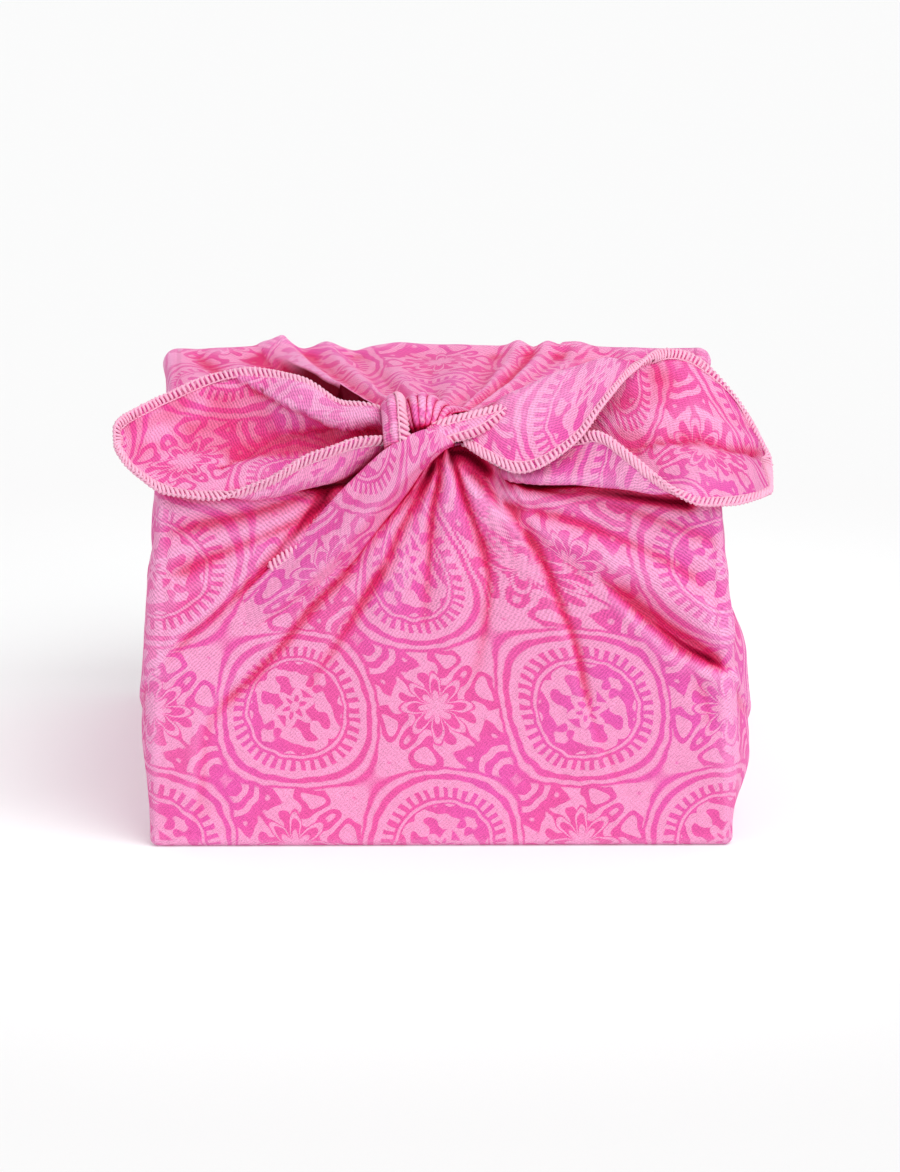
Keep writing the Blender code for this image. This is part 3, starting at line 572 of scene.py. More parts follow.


# Each row: kind, face, points, height first and last, reach to the left first and last, to the right
# first and last. The points are (x, z) on the front and back, (x, y) on the top, (y, z) on the sides.
# A ridge is round, a crease is sharp, a slit is a crease painted dark with shadow, and a step is high on its left and
# drops on its right.
foldTable = (
    ("ridge", "front", ((-64, 98), (0, 92), (64, 98)), (1.8, 1.8), (26, 26), (32, 32)),
    ("step", "front", ((-93, 5), (-89, 20), (-86, 46), (-79, 56), (-63, 72), (-49, 90), (-36, 103)),
     (0.6, 3.0), (7, 7), (1.6, 1.7)),
    ("crease", "front", ((-30, 108), (-44, 91), (-58, 74), (-74, 57)), (1.2, 0.8), (1.5, 2), (5, 6)),
    ("step", "front", ((-50, 58), (-47, 65), (-40, 76), (-34, 86), (-28, 96), (-20, 108)),
     (0.4, 2.6), (6, 5), (1.6, 1.6)),
    ("crease", "front", ((-22, 102), (-31, 86), (-38, 74), (-46, 62)), (1.6, 0.4), (2, 4), (5, 6)),
    ("ridge", "front", ((-12, 104), (-18, 86), (-26, 66)), (1.4, 0.3), (4, 8), (4, 8)),
    ("ridge", "front", ((2, 108), (2, 90), (-2, 66)), (1.3, 0.3), (4, 8), (4, 8)),
    ("crease", "front", ((14, 114), (17, 100), (16, 84), (14, 72), (9, 58)), (1.8, 0.4), (2, 4), (2, 4)),
    ("step", "front", ((67, 14), (57, 34), (50, 56), (46, 75), (41, 89), (36, 103), (31, 113), (24, 125)),
     (0.4, 3.2), (9, 5), (1.8, 1.5)),
    ("crease", "front", ((30, 117), (36, 106), (43, 89), (48, 75), (53, 56)), (1.8, 1.2), (1.6, 2), (5, 8)),
    ("ridge", "front", ((20, 136), (32, 123), (46, 112), (60, 103)), (2.6, 2.0), (5, 7), (4, 6)),
    ("ridge", "front", ((56, 98), (63, 91.5), (70, 84.5), (77, 78.5), (84, 72.5), (92, 68), (101, 63)),
     (0.8, 2.6), (2.0, 2.2), (4, 6)),
    ("crease", "front", ((58, 99.5), (64.5, 94), (71.6, 87.3), (78.6, 81.3), (85.6, 75.3), (93.5, 71), (103, 65.8)),
     (1.6, 6.6), (3.0, 4.2), (1.1, 1.3)),
    ("shadowedSlit", "front", ((62, 95.5), (71, 87.6), (80, 80), (88, 74), (95, 70), (103, 65.6)), (0.3, 1.0), (1.1, 2.0),
     (0.8, 0.9)),
    ("shadowedSlit", "front", ((22, 134.5), (36, 134), (52, 132.5), (66, 130.5), (88, 127.5)), (0.3, 1.0), (1.2, 1.8),
     (1.6, 2.4)),
    ("shadowedSlit", "front", ((5, 149), (9, 146), (16, 140)), (1.0, 0.9), (3.0, 3.0), (3.0, 3.0)),
    ("shadowedSlit", "front", ((-70, 130.5), (-58, 131), (-47, 133), (-34, 138), (-24, 145)), (0.1, 0.6), (1.3, 1.8),
     (1.3, 1.8)),
    ("shadowedSlit", "front", ((-72, 96), (-61, 108), (-50.5, 120), (-40.5, 132), (-31, 142)), (0.3, 1.0), (1.8, 2.6),
     (2.2, 2.6)),
    ("shadowedSlit", "front", ((-40, 98), (-28, 111), (-18, 123), (-10, 133), (-4, 142)), (0.1, 0.55), (1.0, 1.0),
     (1.4, 1.6)),
    ("shadowedSlit", "front", ((-30, 90), (-20, 107), (-12, 123), (-6, 135), (-2, 145)), (0.1, 0.55), (1.0, 1.0), (1.2, 1.4)),
    ("shadowedSlit", "front", ((13, 112), (9, 126), (6, 138), (3, 147)), (0.1, 0.55), (1.0, 1.0), (1.2, 1.2)),
    ("shadowedSlit", "top", ((12, -95), (18, -90), (26, -84)), (0.95, 0.8), (3.5, 3.5), (3.5, 3.5)),
    ("ridge", "front", ((60, 108), (68, 102.5), (78, 96), (88, 88), (99, 80)), (2.2, 5.4), (10, 13), (4.5, 6)),
    ("ridge", "front", ((62, 94), (71, 84), (79, 75), (84, 66), (88, 52)), (0.9, 0.9), (4, 4), (4, 6)),
    ("crease", "front", ((80, 76), (88, 68), (94, 60), (97, 46)), (0.8, 1.0), (2, 3), (2, 3)),
    ("step", "front", ((-104, 65), (-94, 79), (-84, 87.5), (-73, 98), (-63, 107), (-50, 114), (-40, 122)),
     (2.0, 3.0), (9, 8), (1.6, 1.6)),
    ("ridge", "front", ((-101, 124), (-86, 127), (-64, 131), (-40, 139)), (1.8, 3.0), (4, 4), (5, 4)),
    ("crease", "front", ((-102, 116), (-86, 120), (-62, 126), (-34, 137)), (0.9, 2.8), (3, 2), (3, 2)),
    ("ridge", "front", ((-101, 108), (-84, 114), (-60, 122), (-36, 132)), (1.4, 3.0), (4, 3.5), (4, 3.5)),
    ("crease", "front", ((-103, 99), (-86, 106), (-64, 116), (-38, 128)), (0.9, 2.6), (3, 2), (3, 2)),
    ("ridge", "front", ((-103, 89), (-88, 98), (-70, 109), (-48, 120)), (1.2, 2.2), (4, 4), (5, 3)),
    ("crease", "front", ((-99, 84), (-88, 93), (-74, 103), (-60, 112)), (0.9, 1.5), (3, 2), (3, 2)),
    ("ridge", "front", ((20, 143), (44, 137), (72, 130), (100, 123)), (2.6, 1.4), (4, 5), (4, 5)),
    ("crease", "front", ((22, 137), (44, 132), (72, 123), (101, 112)), (2.6, 0.9), (2, 4), (2, 4)),
    ("ridge", "front", ((24, 132), (46, 127), (74, 117), (101, 102)), (2.2, 1.6), (4, 5), (4, 5)),
    ("crease", "front", ((26, 127), (48, 121), (76, 109), (102, 92)), (2.2, 1.0), (2, 4), (2, 4)),
    ("ridge", "front", ((30, 120), (50, 114), (78, 102), (102, 86)), (1.6, 1.6), (4, 6), (4, 6)),
    ("ridge", "front", ((-18, 60), (-4, 40), (14, 26)), (0.5, 0.4), (16, 18), (16, 18)),
    ("ridge", "left", ((-90, 96), (-88, 66), (-88, 42)), (3.4, 4.4), (20, 20), (22, 22)),
    ("ridge", "right", ((-72, 64), (-72, 46), (-74, 27)), (7.0, 7.6), (17, 17), (17, 17)),
    ("ridge", "right", ((-99, 66), (-99, 34)), (2.4, 2.8), (14, 14), (14, 14)),
    ("ridge", "right", ((-105, 126), (10, 126)), (-1.6, -1.2), (12, 12), (12, 12)),
    ("ridge", "left", ((-86, 118), (-44, 90), (10, 24)), (1.2, 1.2), (7, 14), (7, 14)),
    ("crease", "left", ((-92, 110), (-60, 80), (-20, 28)), (1.4, 0.8), (4, 8), (4, 8)),
    ("ridge", "left", ((-92, 126), (-20, 106), (60, 60)), (0.8, 1.0), (6, 12), (6, 12)),
    ("crease", "left", ((-80, 120), (-10, 96), (64, 46)), (0.8, 0.8), (4, 8), (4, 8)),
    ("ridge", "left", ((-94, 131), (0, 124), (80, 104)), (0.8, 0.8), (4, 8), (4, 8)),
    ("step", "left", ((-16, 1), (-62, 34), (-106, 64)), (2.2, 1.0), (12, 10), (1.3, 1.3)),
    ("step", "left", ((60, 0), (82, 34), (106, 70)), (1.4, 1.4), (12, 12), (1.2, 1.2)),
    ("ridge", "right", ((-84, 112), (-38, 86), (16, 22)), (0.8, 1.4), (7, 14), (7, 14)),
    ("crease", "right", ((-90, 104), (-56, 78), (-16, 28)), (1.2, 0.8), (4, 8), (4, 8)),
    ("ridge", "right", ((-86, 122), (-16, 106), (66, 62)), (0.4, 1.2), (6, 12), (6, 12)),
    ("crease", "right", ((-70, 116), (-6, 96), (66, 48)), (0.8, 0.8), (4, 8), (4, 8)),
    ("ridge", "right", ((-92, 131), (4, 123), (84, 104)), (0.5, 0.8), (4, 8), (4, 8)),
    ("step", "right", ((-106, 64), (-62, 34), (-16, 1)), (1.0, 2.2), (10, 12), (1.3, 1.3)),
    ("step", "right", ((106, 70), (82, 34), (60, 0)), (1.4, 1.4), (12, 12), (1.2, 1.2)),
    ("step", "back", ((-58, 131), (-76, 76), (-99, 10)), (2.4, 2.0), (14, 10), (1.2, 1.2)),
    ("step", "back", ((99, 10), (72, 74), (48, 131)), (2.0, 2.4), (10, 14), (1.2, 1.2)),
    ("ridge", "back", ((-42, 131), (-38, 90), (-44, 40)), (1.8, 0.4), (4, 12), (4, 12)),
    ("crease", "back", ((-31, 131), (-27, 96), (-30, 62)), (1.6, 0.3), (4, 8), (4, 8)),
    ("ridge", "back", ((-14, 131), (-8, 84), (-4, 40)), (1.2, 0.3), (8, 16), (8, 16)),
    ("ridge", "back", ((31, 131), (28, 90), (34, 40)), (1.7, 0.4), (4, 12), (4, 12)),
    ("crease", "back", ((36.5, 131), (35, 96), (42, 62)), (1.6, 0.3), (3, 8), (3, 8)),
    ("ridge", "back", ((42, 131), (42, 90), (52, 44)), (1.5, 0.4), (4, 10), (4, 10)),
    ("ridge", "top", ((-104, 99), (0, 99), (104, 99)), (2.2, 2.2), (5, 5), (9, 9)),
    ("ridge", "top", ((-58, 105), (-41, 14), (-21, -74)), (2.6, 3.0), (3, 3), (4, 4)),
    ("crease", "top", ((-50, 100), (-35, 14), (-17, -74)), (2.0, 4.0), (4, 2.5), (4, 3)),
    ("ridge", "top", ((-42, 105), (-29, 14), (-14, -74)), (1.8, 3.4), (4, 3), (4, 3)),
    ("crease", "top", ((-31, 100), (-21, 20), (-10, -74)), (2.2, 4.0), (5, 2.4), (5, 3)),
    ("ridge", "top", ((-20, 92), (-14, 20), (-7, -74)), (0.6, 3.2), (6, 3), (6, 3)),
    ("crease", "top", ((-4, 80), (-3, 0), (-4, -76)), (0.8, 3.2), (5, 2.4), (5, 2.4)),
    ("ridge", "top", ((10, 90), (6, 0), (-1, -76)), (0.8, 2.4), (7, 3), (7, 3)),
    ("crease", "top", ((22, 96), (14, 4), (3, -76)), (1.6, 4.2), (5, 2.4), (5, 2.4)),
    ("ridge", "top", ((31, 105), (20, 10), (5, -76)), (1.7, 4.0), (4.5, 3.4), (3, 2.4)),
    ("crease", "top", ((36.5, 100), (24, 10), (8, -76)), (2.2, 4.4), (2, 1.8), (3, 2.4)),
    ("ridge", "top", ((42, 105), (28, 10), (11, -76)), (1.5, 4.4), (3.4, 3), (3.4, 2.4)),
    ("crease", "top", ((49, 98), (33, 10), (14, -74)), (2.2, 4.6), (3, 1.8), (4, 2.4)),
    ("ridge", "top", ((56, 94), (38, 10), (17, -72)), (1.0, 4.0), (4, 3), (4, 2.4)),
    ("crease", "top", ((66, 92), (46, 12), (21, -68)), (1.6, 4.0), (4, 2), (5, 3)),
    ("ridge", "top", ((-98, 90), (-74, 20), (-38, -70)), (1.4, 2.4), (7, 6), (7, 6)),
    ("crease", "top", ((-90, 94), (-66, 28), (-38, -50)), (1.6, 3.0), (5, 4), (5, 4)),
    ("ridge", "top", ((-82, 94), (-60, 40), (-38, -30)), (1.4, 2.2), (5, 5), (5, 5)),
    ("ridge", "top", ((94, 84), (66, 4), (28, -80)), (1.6, 3.0), (8, 7), (8, 7)),
    ("crease", "top", ((84, 90), (58, 10), (26, -72)), (1.6, 3.2), (5, 4), (5, 4)),
    ("ridge", "top", ((74, 94), (52, 20), (24, -60)), (1.4, 2.4), (5, 5), (5, 5)),
)


def facePoint(face, u, v):
    halfX = (wrap["widthBottom"] + wrap["widthTop"]) / 4
    if face == "front":
        return (u, -wrap["depth"] / 2, v), (0, -1, 0)
    if face == "back":
        return (u, wrap["depth"] / 2, v), (0, 1, 0)
    if face == "left":
        return (-halfX, u, v), (-1, 0, 0)
    if face == "right":
        return (halfX, u, v), (1, 0, 0)
    return (u, v, wrap["height"] + float(strandLift(u, v))), (0, 0, 1)


foldShape = {
    "bottom": (0.6, 0.77),                          # rounds the bottom of a crease: a square, and its root
    "foot": 0.30, "footAt": 1.3, "footWidth": 1.1,  # the dip past the drop of a step, in its widths
    "highSide": 1.2,                                # how the high side of a step falls away
    "farthest": 4.5,                                # no fold reaches beyond this many widths
}


def foldShift(row, places):
    # how far one fold raises each place
    kind, face, points, heights, toLeft, toRight = row
    steps = 4 * (len(points) - 1) + 6
    flat = curveThrough(points, steps + 1)
    curve = np.array([facePoint(face, u, v)[0] for u, v in flat])
    outward = np.array(facePoint(face, 0, 0)[1], float)
    far = foldShape["farthest"] * max(*toLeft, *toRight, 2.0)
    near = np.all((places > curve.min(axis=0) - far) & (places < curve.max(axis=0) + far), axis=1)
    index = np.nonzero(near)[0]
    result = np.zeros(len(places))
    if not len(index):
        return result
    chosen = places[index]
    nearest = np.full(len(index), np.inf)
    rise = np.zeros(len(index))
    for step in range(steps):
        a, b = curve[step], curve[step + 1]
        along = b - a
        t = np.clip((chosen - a) @ along / (along @ along), 0.0, 1.0)
        gap = chosen - (a + t[:, None] * along)
        distance = np.linalg.norm(gap, axis=1)
        closer = distance < nearest
        share = (step + t) / steps
        onLeft = gap @ np.cross(outward, along) > 0
        width = np.where(onLeft, toLeft[0] + (toLeft[1] - toLeft[0]) * share,
                         toRight[0] + (toRight[1] - toRight[0]) * share)
        height = heights[0] + (heights[1] - heights[0]) * share
        if kind == "ridge":
            shape = np.exp(-(distance / width) ** 2)
        elif kind in ("crease", "shadowedSlit"):
            square, root = foldShape["bottom"]
            shape = -np.exp(-(np.sqrt(distance ** 2 + square) - root) / width)
        else:
            past = (distance - foldShape["footAt"] * width) / (foldShape["footWidth"] * width)
            foot = foldShape["foot"] * np.exp(-past ** 2)
            high = np.exp(-(distance / width) ** foldShape["highSide"])
            shape = np.where(onLeft, high, 1.0 - ease(distance / width) - foot)
        nearest[closer] = distance[closer]
        rise[closer] = (height * shape)[closer]
    result[index] = rise
    return result


valleys = (
    # creases that part the strands under the knot: the cloth hidden in each, then (x, z) on the front
    (9.0, ((-4, 150), (-13, 132), (-23, 121), (-36, 103), (-49, 90), (-63, 72), (-79, 56))),
    (14.0, ((-2, 150), (-5, 137), (-11, 126), (-20, 108), (-28, 95), (-40, 76), (-48, 62))),
    (12.0, ((0, 150), (-1, 137), (-3, 128), (-4, 117), (-5, 100), (-6, 84))),
    (13.0, ((3, 150), (6, 139), (8, 132), (12, 121), (16, 108), (17, 90), (12, 64))),
    (10.0, ((10, 150), (15, 139), (23, 129), (32, 113), (38, 101), (43, 84))),
)
bundleShape = {
    "swell": 8.0, "reach": 50.0,         # how far the strands stand out, and over what length that fades
    "leanLeft": (62.0, 10.0), "leanRight": (47.0, 6.0),  # degrees off plumb where they end, and how softly
    "round": (1.9, 0.125),               # width over which a strand rounds off, at the knot and its growth
    # width of the painted shade down in the valleys, at the knot and its growth, and how far it reaches
    "crease": (0.7, 0.012), "creaseReach": 62.0,
    "base": 0.12,                        # share of the swelling that the valleys keep
}
gathers = {"middle": (-2.0, -100.0, 150.0), "reach": 52.0, "height": 1.1, "pitches": (5.1, 11.0, 2.9)}


def valleyDistance(places):
    flat = places[:, [0, 2]]
    nearest = np.full(len(flat), 99.0)
    for _, points in valleys:
        curve = curveThrough(points, 6 * len(points))
        for a, b in zip(curve[:-1], curve[1:]):
            along = b - a
            t = np.clip((flat - a) @ along / (along @ along), 0.0, 1.0)
            nearest = np.minimum(nearest, np.linalg.norm(flat - (a + t[:, None] * along), axis=1))
    return nearest


def strandOffset(places, faces, sides):
    # the print breaks at each crease under the knot by the cloth that is hidden in it
    middle = np.array([places[f].mean(axis=0) for f in faces])
    total = np.zeros(len(faces))
    for hidden, points in valleys:
        curve = curveThrough(points, 6 * len(points))[::-1]
        reach = np.hypot(curve[0, 0] - wrap["knotX"], wrap["knotZ"] - curve[0, 1])
        beyond = middle[:, 0] > np.interp(middle[:, 2], curve[:, 1], curve[:, 0])
        away = np.hypot(middle[:, 0] - wrap["knotX"], wrap["knotZ"] - middle[:, 2])
        total += hidden * beyond * ease(1.0 - away / reach)
    total = np.where(np.array(sides) == "front", total, 0.0)
    return np.repeat(total, [len(f) for f in faces])


def bundle(places):
    # the front swells into rounded strands where its folds run together under the knot, with painted shade down in
    # the valleys between them
    form = bundleShape
    x, z = places[:, 0] - wrap["knotX"], wrap["knotZ"] - places[:, 2]
    away = np.hypot(x, z)
    lean = np.degrees(np.arctan2(x, np.maximum(z, 0.1)))
    (left, leftSoft), (right, rightSoft) = form["leanLeft"], form["leanRight"]
    wedge = ease((lean + left) / leftSoft) * ease((right - lean) / rightSoft)
    reach = form["round"][0] + form["round"][1] * away
    gap = valleyDistance(places)
    rounded = np.clip(gap / reach, 0.0, 1.0)
    crown = np.sqrt(rounded * (2.0 - rounded))
    swell = form["swell"] * np.exp(-(away / form["reach"]) ** 2) * wedge
    creaseShade = np.exp(-(gap / (form["crease"][0] + form["crease"][1] * away)) ** 2)
    creaseShade = creaseShade * np.exp(-(away / form["creaseReach"]) ** 2) * wedge
    return swell * (form["base"] + (1.0 - form["base"]) * crown), creaseShade


def pleats(u, places, side):
    # fine gathers that run with the cloth towards the knot
    away = np.linalg.norm(places - np.array(gathers["middle"]), axis=1)
    strength = np.exp(-away / gathers["reach"])
    wide, drift, narrow = gathers["pitches"]
    wave = np.abs(np.sin(u / wide + 0.9 * np.sin(u / drift) + 0.4)) + 0.5 * np.abs(np.sin(u / narrow + 1.1))
    return np.where((side == "top") | (side == "front"), gathers["height"] * strength * (wave - 0.75), 0.0)


def shellPlaces(grid, sizes, radius):
    half = np.array(sizes) / 2
    middle = np.array([0.0, 0.0, sizes[2] / 2])
    local = grid - middle
    core = np.clip(local, radius - half, half - radius)
    outward = unit(local - core)
    return core + radius * outward + middle, outward


def drape(grid, side, links):
    # the outer face of the cloth at each grid place, with its painted shade and painted shadow
    u = grid[:, 0]
    sizes = (wrap["widthBottom"], wrap["depth"], wrap["height"])
    places, outward = shellPlaces(gather(grid), sizes, wrap["edgeRadius"])
    places[:, 0] *= 1.0 + (wrap["widthTop"] / wrap["widthBottom"] - 1.0) * places[:, 2] / wrap["height"]
    climb = ease((places[:, 2] - wrap["frontRiseFoot"]) / (wrap["height"] - wrap["frontRiseFoot"]))
    climb = np.where(places[:, 1] < 0, climb, ease(outward[:, 2] / 0.9))
    climb = np.where(outward[:, 2] > 0.9, 1.0, climb)
    places[:, 2] += climb * strandLift(places[:, 0], places[:, 1])
    shifts = [foldShift(row, places) for row in foldTable]
    lost, start, over = wrap["cornerCalm"]
    corner = 1.0 - lost * ease((np.abs(places[:, 0]) - start) / over)
    shifts = [shift * (corner if row[1] == "front" else 1.0) for row, shift in zip(foldTable, shifts)]
    # painted shadow in the slits
    gap = sum(-shift for row, shift in zip(foldTable, shifts) if row[0] == "shadowedSlit")
    rise = sum(shift * (2.0 if row[0] == "shadowedSlit" else 1.0) for row, shift in zip(foldTable, shifts))
    # the swell of the strands, and the painted shade in the valleys between them, on the front only
    swell, creaseShade = bundle(places)
    onFront = (outward[:, 1] < -0.3) & (places[:, 1] < 0)
    rise += swell * onFront
    creaseShade = creaseShade * onFront
    rise += pleats(u, places, side)
    rise += sum(height * ripple(places, length, seed) for height, length, seed in wrap["uneven"])
    rise = np.maximum(rise, wrap["deepest"]) * ease(places[:, 2] / wrap["calm"])
    rise = smoothed(rise[:, None], links, 2)[:, 0]
    moved = places + outward * rise[:, None]

    # the strand's left border hangs over the flank beneath it, on which shadow is painted
    def grown(which):
        start, reach = lip[which]
        return ease((strandShare(places[:, 1]) - start) / reach)

    onTop = outward[:, 2] > 0.9
    left, _, flank = strandSides(places[:, 1])
    past = (left - places[:, 0]) / flank
    over = lip["over"] * flank * grown("overFrom")
    moved[:, 0] += over * np.where(onTop, 1.0, 0.0) * np.sin(np.pi * np.clip(past, 0.0, 1.0))
    (above, aboveSoft), (beside, besideSoft) = lip["lipShadowAbove"], lip["lipShadowPast"]
    # painted shadow on the flank under the border, and on the top beside it
    lipShadow = ease((past + above) / aboveSoft)
    lipShadow = lipShadow * (1.0 - ease((left - places[:, 0] - flank - beside) / besideSoft))
    under = np.where(onTop, lipShadow * grown("lipShadowFrom"), 0.0)
    # painted shadow in the slits, and a little painted shade over the whole top
    gain, start = lip["slitShadowGain"]
    gap = np.clip(np.maximum(np.clip(gap * gain - start, 0, 1), under), 0, 1.0)
    creaseShade = np.maximum(creaseShade, lip["topShade"] * onTop)
    return moved, np.clip(np.maximum(creaseShade, under), 0.0, 1.0), gap, outward


def hollowPlaces(grid):
    inside = wrap["inside"]
    sizes = (wrap["widthBottom"] - 2 * inside, wrap["depth"] - 2 * inside, wrap["height"] - 2 * inside)
    places, outward = shellPlaces(grid, sizes, wrap["edgeRadius"])
    places[:, 2] += inside
    places[:, 0] *= 1.0 + (wrap["widthTop"] / wrap["widthBottom"] - 1.0) * places[:, 2] / wrap["height"]
    lift = np.maximum(strandLift(places[:, 0], places[:, 1], wrap["flankKnot"]) - 2 * inside, 0.0)
    fade = ease((places[:, 1] + wrap["depth"] / 2) / wrap["flankKnot"] - 0.5)
    places[:, 2] += np.where(outward[:, 2] > 0.9, lift * fade, 0.0)
    return places


def boxGrid(stops, gap=None, ring=1):
    # a closed grid over a box, one flat face inside its ring of cells below; the gap leaves out cells of the top
    last = [len(s) - 1 for s in stops]
    keys, faces, sides, rims = {}, [], [], []

    def key(i, j, k):
        return keys.setdefault((i, j, k), len(keys))

    def patch(name, axis, side, turned, skip=None):
        u, v = ((1, 2), (2, 0), (0, 1))[axis]
        for a in range(last[u]):
            for b in range(last[v]):
                if skip and skip[0] <= a < skip[1] and skip[2] <= b < skip[3]:
                    continue
                square = []
                for da, db in ((0, 0), (1, 0), (1, 1), (0, 1)):
                    cell = [0, 0, 0]
                    cell[axis], cell[u], cell[v] = side, a + da, b + db
                    square.append(key(*cell))
                faces.append(square[::-1] if turned else square)
                sides.append(name)

    patch("right", 0, last[0], False)
    patch("back", 1, last[1], False)
    patch("top", 2, last[2], False, gap)
    patch("left", 0, 0, True)
    patch("front", 1, 0, True)
    low, highI, highJ = ring, last[0] - ring, last[1] - ring
    patch("bottom", 2, 0, True, (low, highI, low, highJ))
    under = [key(i, low, 0) for i in range(low, highI)]
    under += [key(highI, j, 0) for j in range(low, highJ)]
    under += [key(i, highJ, 0) for i in range(highI, low, -1)]
    under += [key(low, j, 0) for j in range(highJ, low, -1)]
    faces.append(under[::-1])
    sides.append("bottom")
    if gap:
        a, b, c, d = gap
        rims = [key(i, c, last[2]) for i in range(a, b)] + [key(b, j, last[2]) for j in range(c, d)]
        rims += [key(i, d, last[2]) for i in range(b, a, -1)] + [key(a, j, last[2]) for j in range(d, c, -1)]
    grid = np.array([[stops[n][c[n]] for n in range(3)] for c in keys], float)
    return grid, faces, sides, rims


def zipFaces(outer, inner, places):
    # a strip between two closed rims with different numbers of places
    def shares(rim):
        points = places[rim + rim[:1]]
        length = np.concatenate([[0], np.cumsum(np.linalg.norm(np.diff(points, axis=0), axis=1))])
        return length / length[-1]

    a, b, faces = 0, 0, []
    one, two = shares(outer), shares(inner)
    while a < len(outer) or b < len(inner):
        if b >= len(inner) or (a < len(outer) and one[a + 1] <= two[b + 1]):
            faces.append((outer[a], outer[(a + 1) % len(outer)], inner[b % len(inner)]))
            a += 1
        else:
            faces.append((outer[a % len(outer)], inner[(b + 1) % len(inner)], inner[b]))
            b += 1
    return faces


def insidePolygon(points, polygon):
    # distance to the polygon's edge, positive inside it
    polygon = np.asarray(polygon, float)
    inside = np.zeros(len(points), bool)
    distance = np.full(len(points), np.inf)
    for a, b in zip(polygon, np.roll(polygon, -1, axis=0)):
        crosses = (a[1] > points[:, 1]) != (b[1] > points[:, 1])
        with np.errstate(divide="ignore", invalid="ignore"):
            at = (b[0] - a[0]) * (points[:, 1] - a[1]) / (b[1] - a[1]) + a[0]
        inside ^= crosses & (points[:, 0] < at)
        along = b - a
        t = np.clip((points - a) @ along / (along @ along), 0.0, 1.0)
        distance = np.minimum(distance, np.linalg.norm(points - (a + t[:, None] * along), axis=1))
    return np.where(inside, distance, -distance)


lapLines = {
    "frontLeft": ((-112, 58), (-104, 65), (-94, 79), (-84, 87.5), (-73, 98), (-63, 107), (-50, 113),
                  (-34, 121), (-26, 128), (-20, 140), (-18, 160), (-112, 160)),
    "frontRight": ((112, 58), (104, 64), (99, 67), (92, 71.5), (84, 75), (76, 82), (71, 87), (64, 94),
                   (58, 99), (44, 107), (30, 118), (22, 129), (14, 141), (10, 160), (112, 160)),
    "sideFront": ((-112, 69), (-62, 34), (-15, 0), (-12, -4), (97, -4), (100, 10), (112, 32), (112, 160),
                  (-112, 160)),
    "backLeft": ((-58, 140), (-58, 131), (-76, 76), (-99, 10), (-104, -6), (-112, -6), (-112, 140)),
    "backRight": ((48, 140), (48, 131), (72, 74), (99, 10), (104, -6), (112, -6), (112, 140)),
}


# how far the print follows the gathers on each face, and the run of the cloth over the top
printRun = {"top": 0.7, "front": 0.4, "overTop": 0.62}


def clothMaps(grid, places, faces, sides):
    # where each corner lies on the flat cloth: its main part, its side parts, and which is on top
    corners = np.concatenate([np.asarray(f) for f in faces])
    side = np.repeat(np.array(sides), [len(f) for f in faces])
    u, y, z = grid[corners].T
    spot = places[corners]
    halfW, halfD, height = wrap["widthBottom"] / 2, wrap["depth"] / 2, wrap["height"]
    hand = np.where(u < 0, -1.0, 1.0)
    drawn = np.where(side == "top", printRun["top"], np.where(side == "front", printRun["front"], 0.0))
    u = u + (spot[:, 0] - u) * drawn * (np.abs(u) < halfW - 4)
    main = np.stack([u, y], axis=1)
    other = np.stack([hand * (halfW + z), y], axis=1)
    lap = np.full(len(corners), -5.0)

    def at(name):
        return side == name

    front, back, top = at("front"), at("back"), at("top")
    main[front] = np.stack([u, -halfD - z], axis=1)[front]
    main[back] = np.stack([u, halfD + z], axis=1)[back]
    main[top] = np.stack([u, halfD + height + printRun["overTop"] * (halfD - y)], axis=1)[top]
    onSides = at("left") | at("right")
    aroundFront = np.stack([hand * (halfW + y + halfD), -halfD - z], axis=1)
    aroundBack = np.stack([hand * (halfW + halfD - y), halfD + z], axis=1)
    main[onSides & (y < 0)] = aroundFront[onSides & (y < 0)]
    main[onSides & (y >= 0)] = aroundBack[onSides & (y >= 0)]
    other[front] = np.stack([hand * (halfW + z), -halfD - (halfW - np.abs(u))], axis=1)[front]
    other[back] = np.stack([hand * (halfW + z), halfD + (halfW - np.abs(u))], axis=1)[back]
    other[top] = np.stack([hand * (halfW + height + halfW - np.abs(u)), y], axis=1)[top]

    flat = {"front": spot[:, [0, 2]], "back": spot[:, [0, 2]], "sides": np.stack([y, z], axis=1)}
    lap[front] = np.maximum(insidePolygon(flat["front"], lapLines["frontLeft"]),
                            insidePolygon(flat["front"], lapLines["frontRight"]))[front]
    lap[back] = np.maximum(insidePolygon(flat["back"], lapLines["backLeft"]),
                           insidePolygon(flat["back"], lapLines["backRight"]))[back]
    lap[onSides] = insidePolygon(flat["sides"], lapLines["sideFront"])[onSides]
    left, right, flank = strandSides(y)
    lap[top] = np.maximum(left - 0.7 * flank - spot[:, 0], spot[:, 0] - right - 0.8 * flank)[top]
    return {"clothMain": main, "clothSide": other, "lap": lap}


def stopsBetween(marks):
    # marks: places with the spacing wanted from each to the next
    stops = [marks[0][0]]
    for (start, pitch), (end, _) in zip(marks, marks[1:]):
        count = max(1, round((end - start) / pitch))
        stops += list(np.linspace(start, end, count + 1)[1:])
    return stops


knotShadowSpots = (
    # painted shadow in small gaps between the layers of the knot: places along each, and its half width
    (((12, -99, 157.0), (17, -97, 159.6), (22, -95, 161.4), (26, -93, 162.4)), 2.4),
    (((7, -106, 149.0), (10, -106, 146.0), (14, -106, 142.0)), 2.8),
)


def knotShadow(places):
    # painted shadow, full in the middle of each gap
    total = np.zeros(len(places))
    for points, width in knotShadowSpots:
        for spot in curveThrough(points, 14):
            total = np.maximum(total, np.exp(-(np.linalg.norm(places - spot, axis=1) / width) ** 4))
    return total


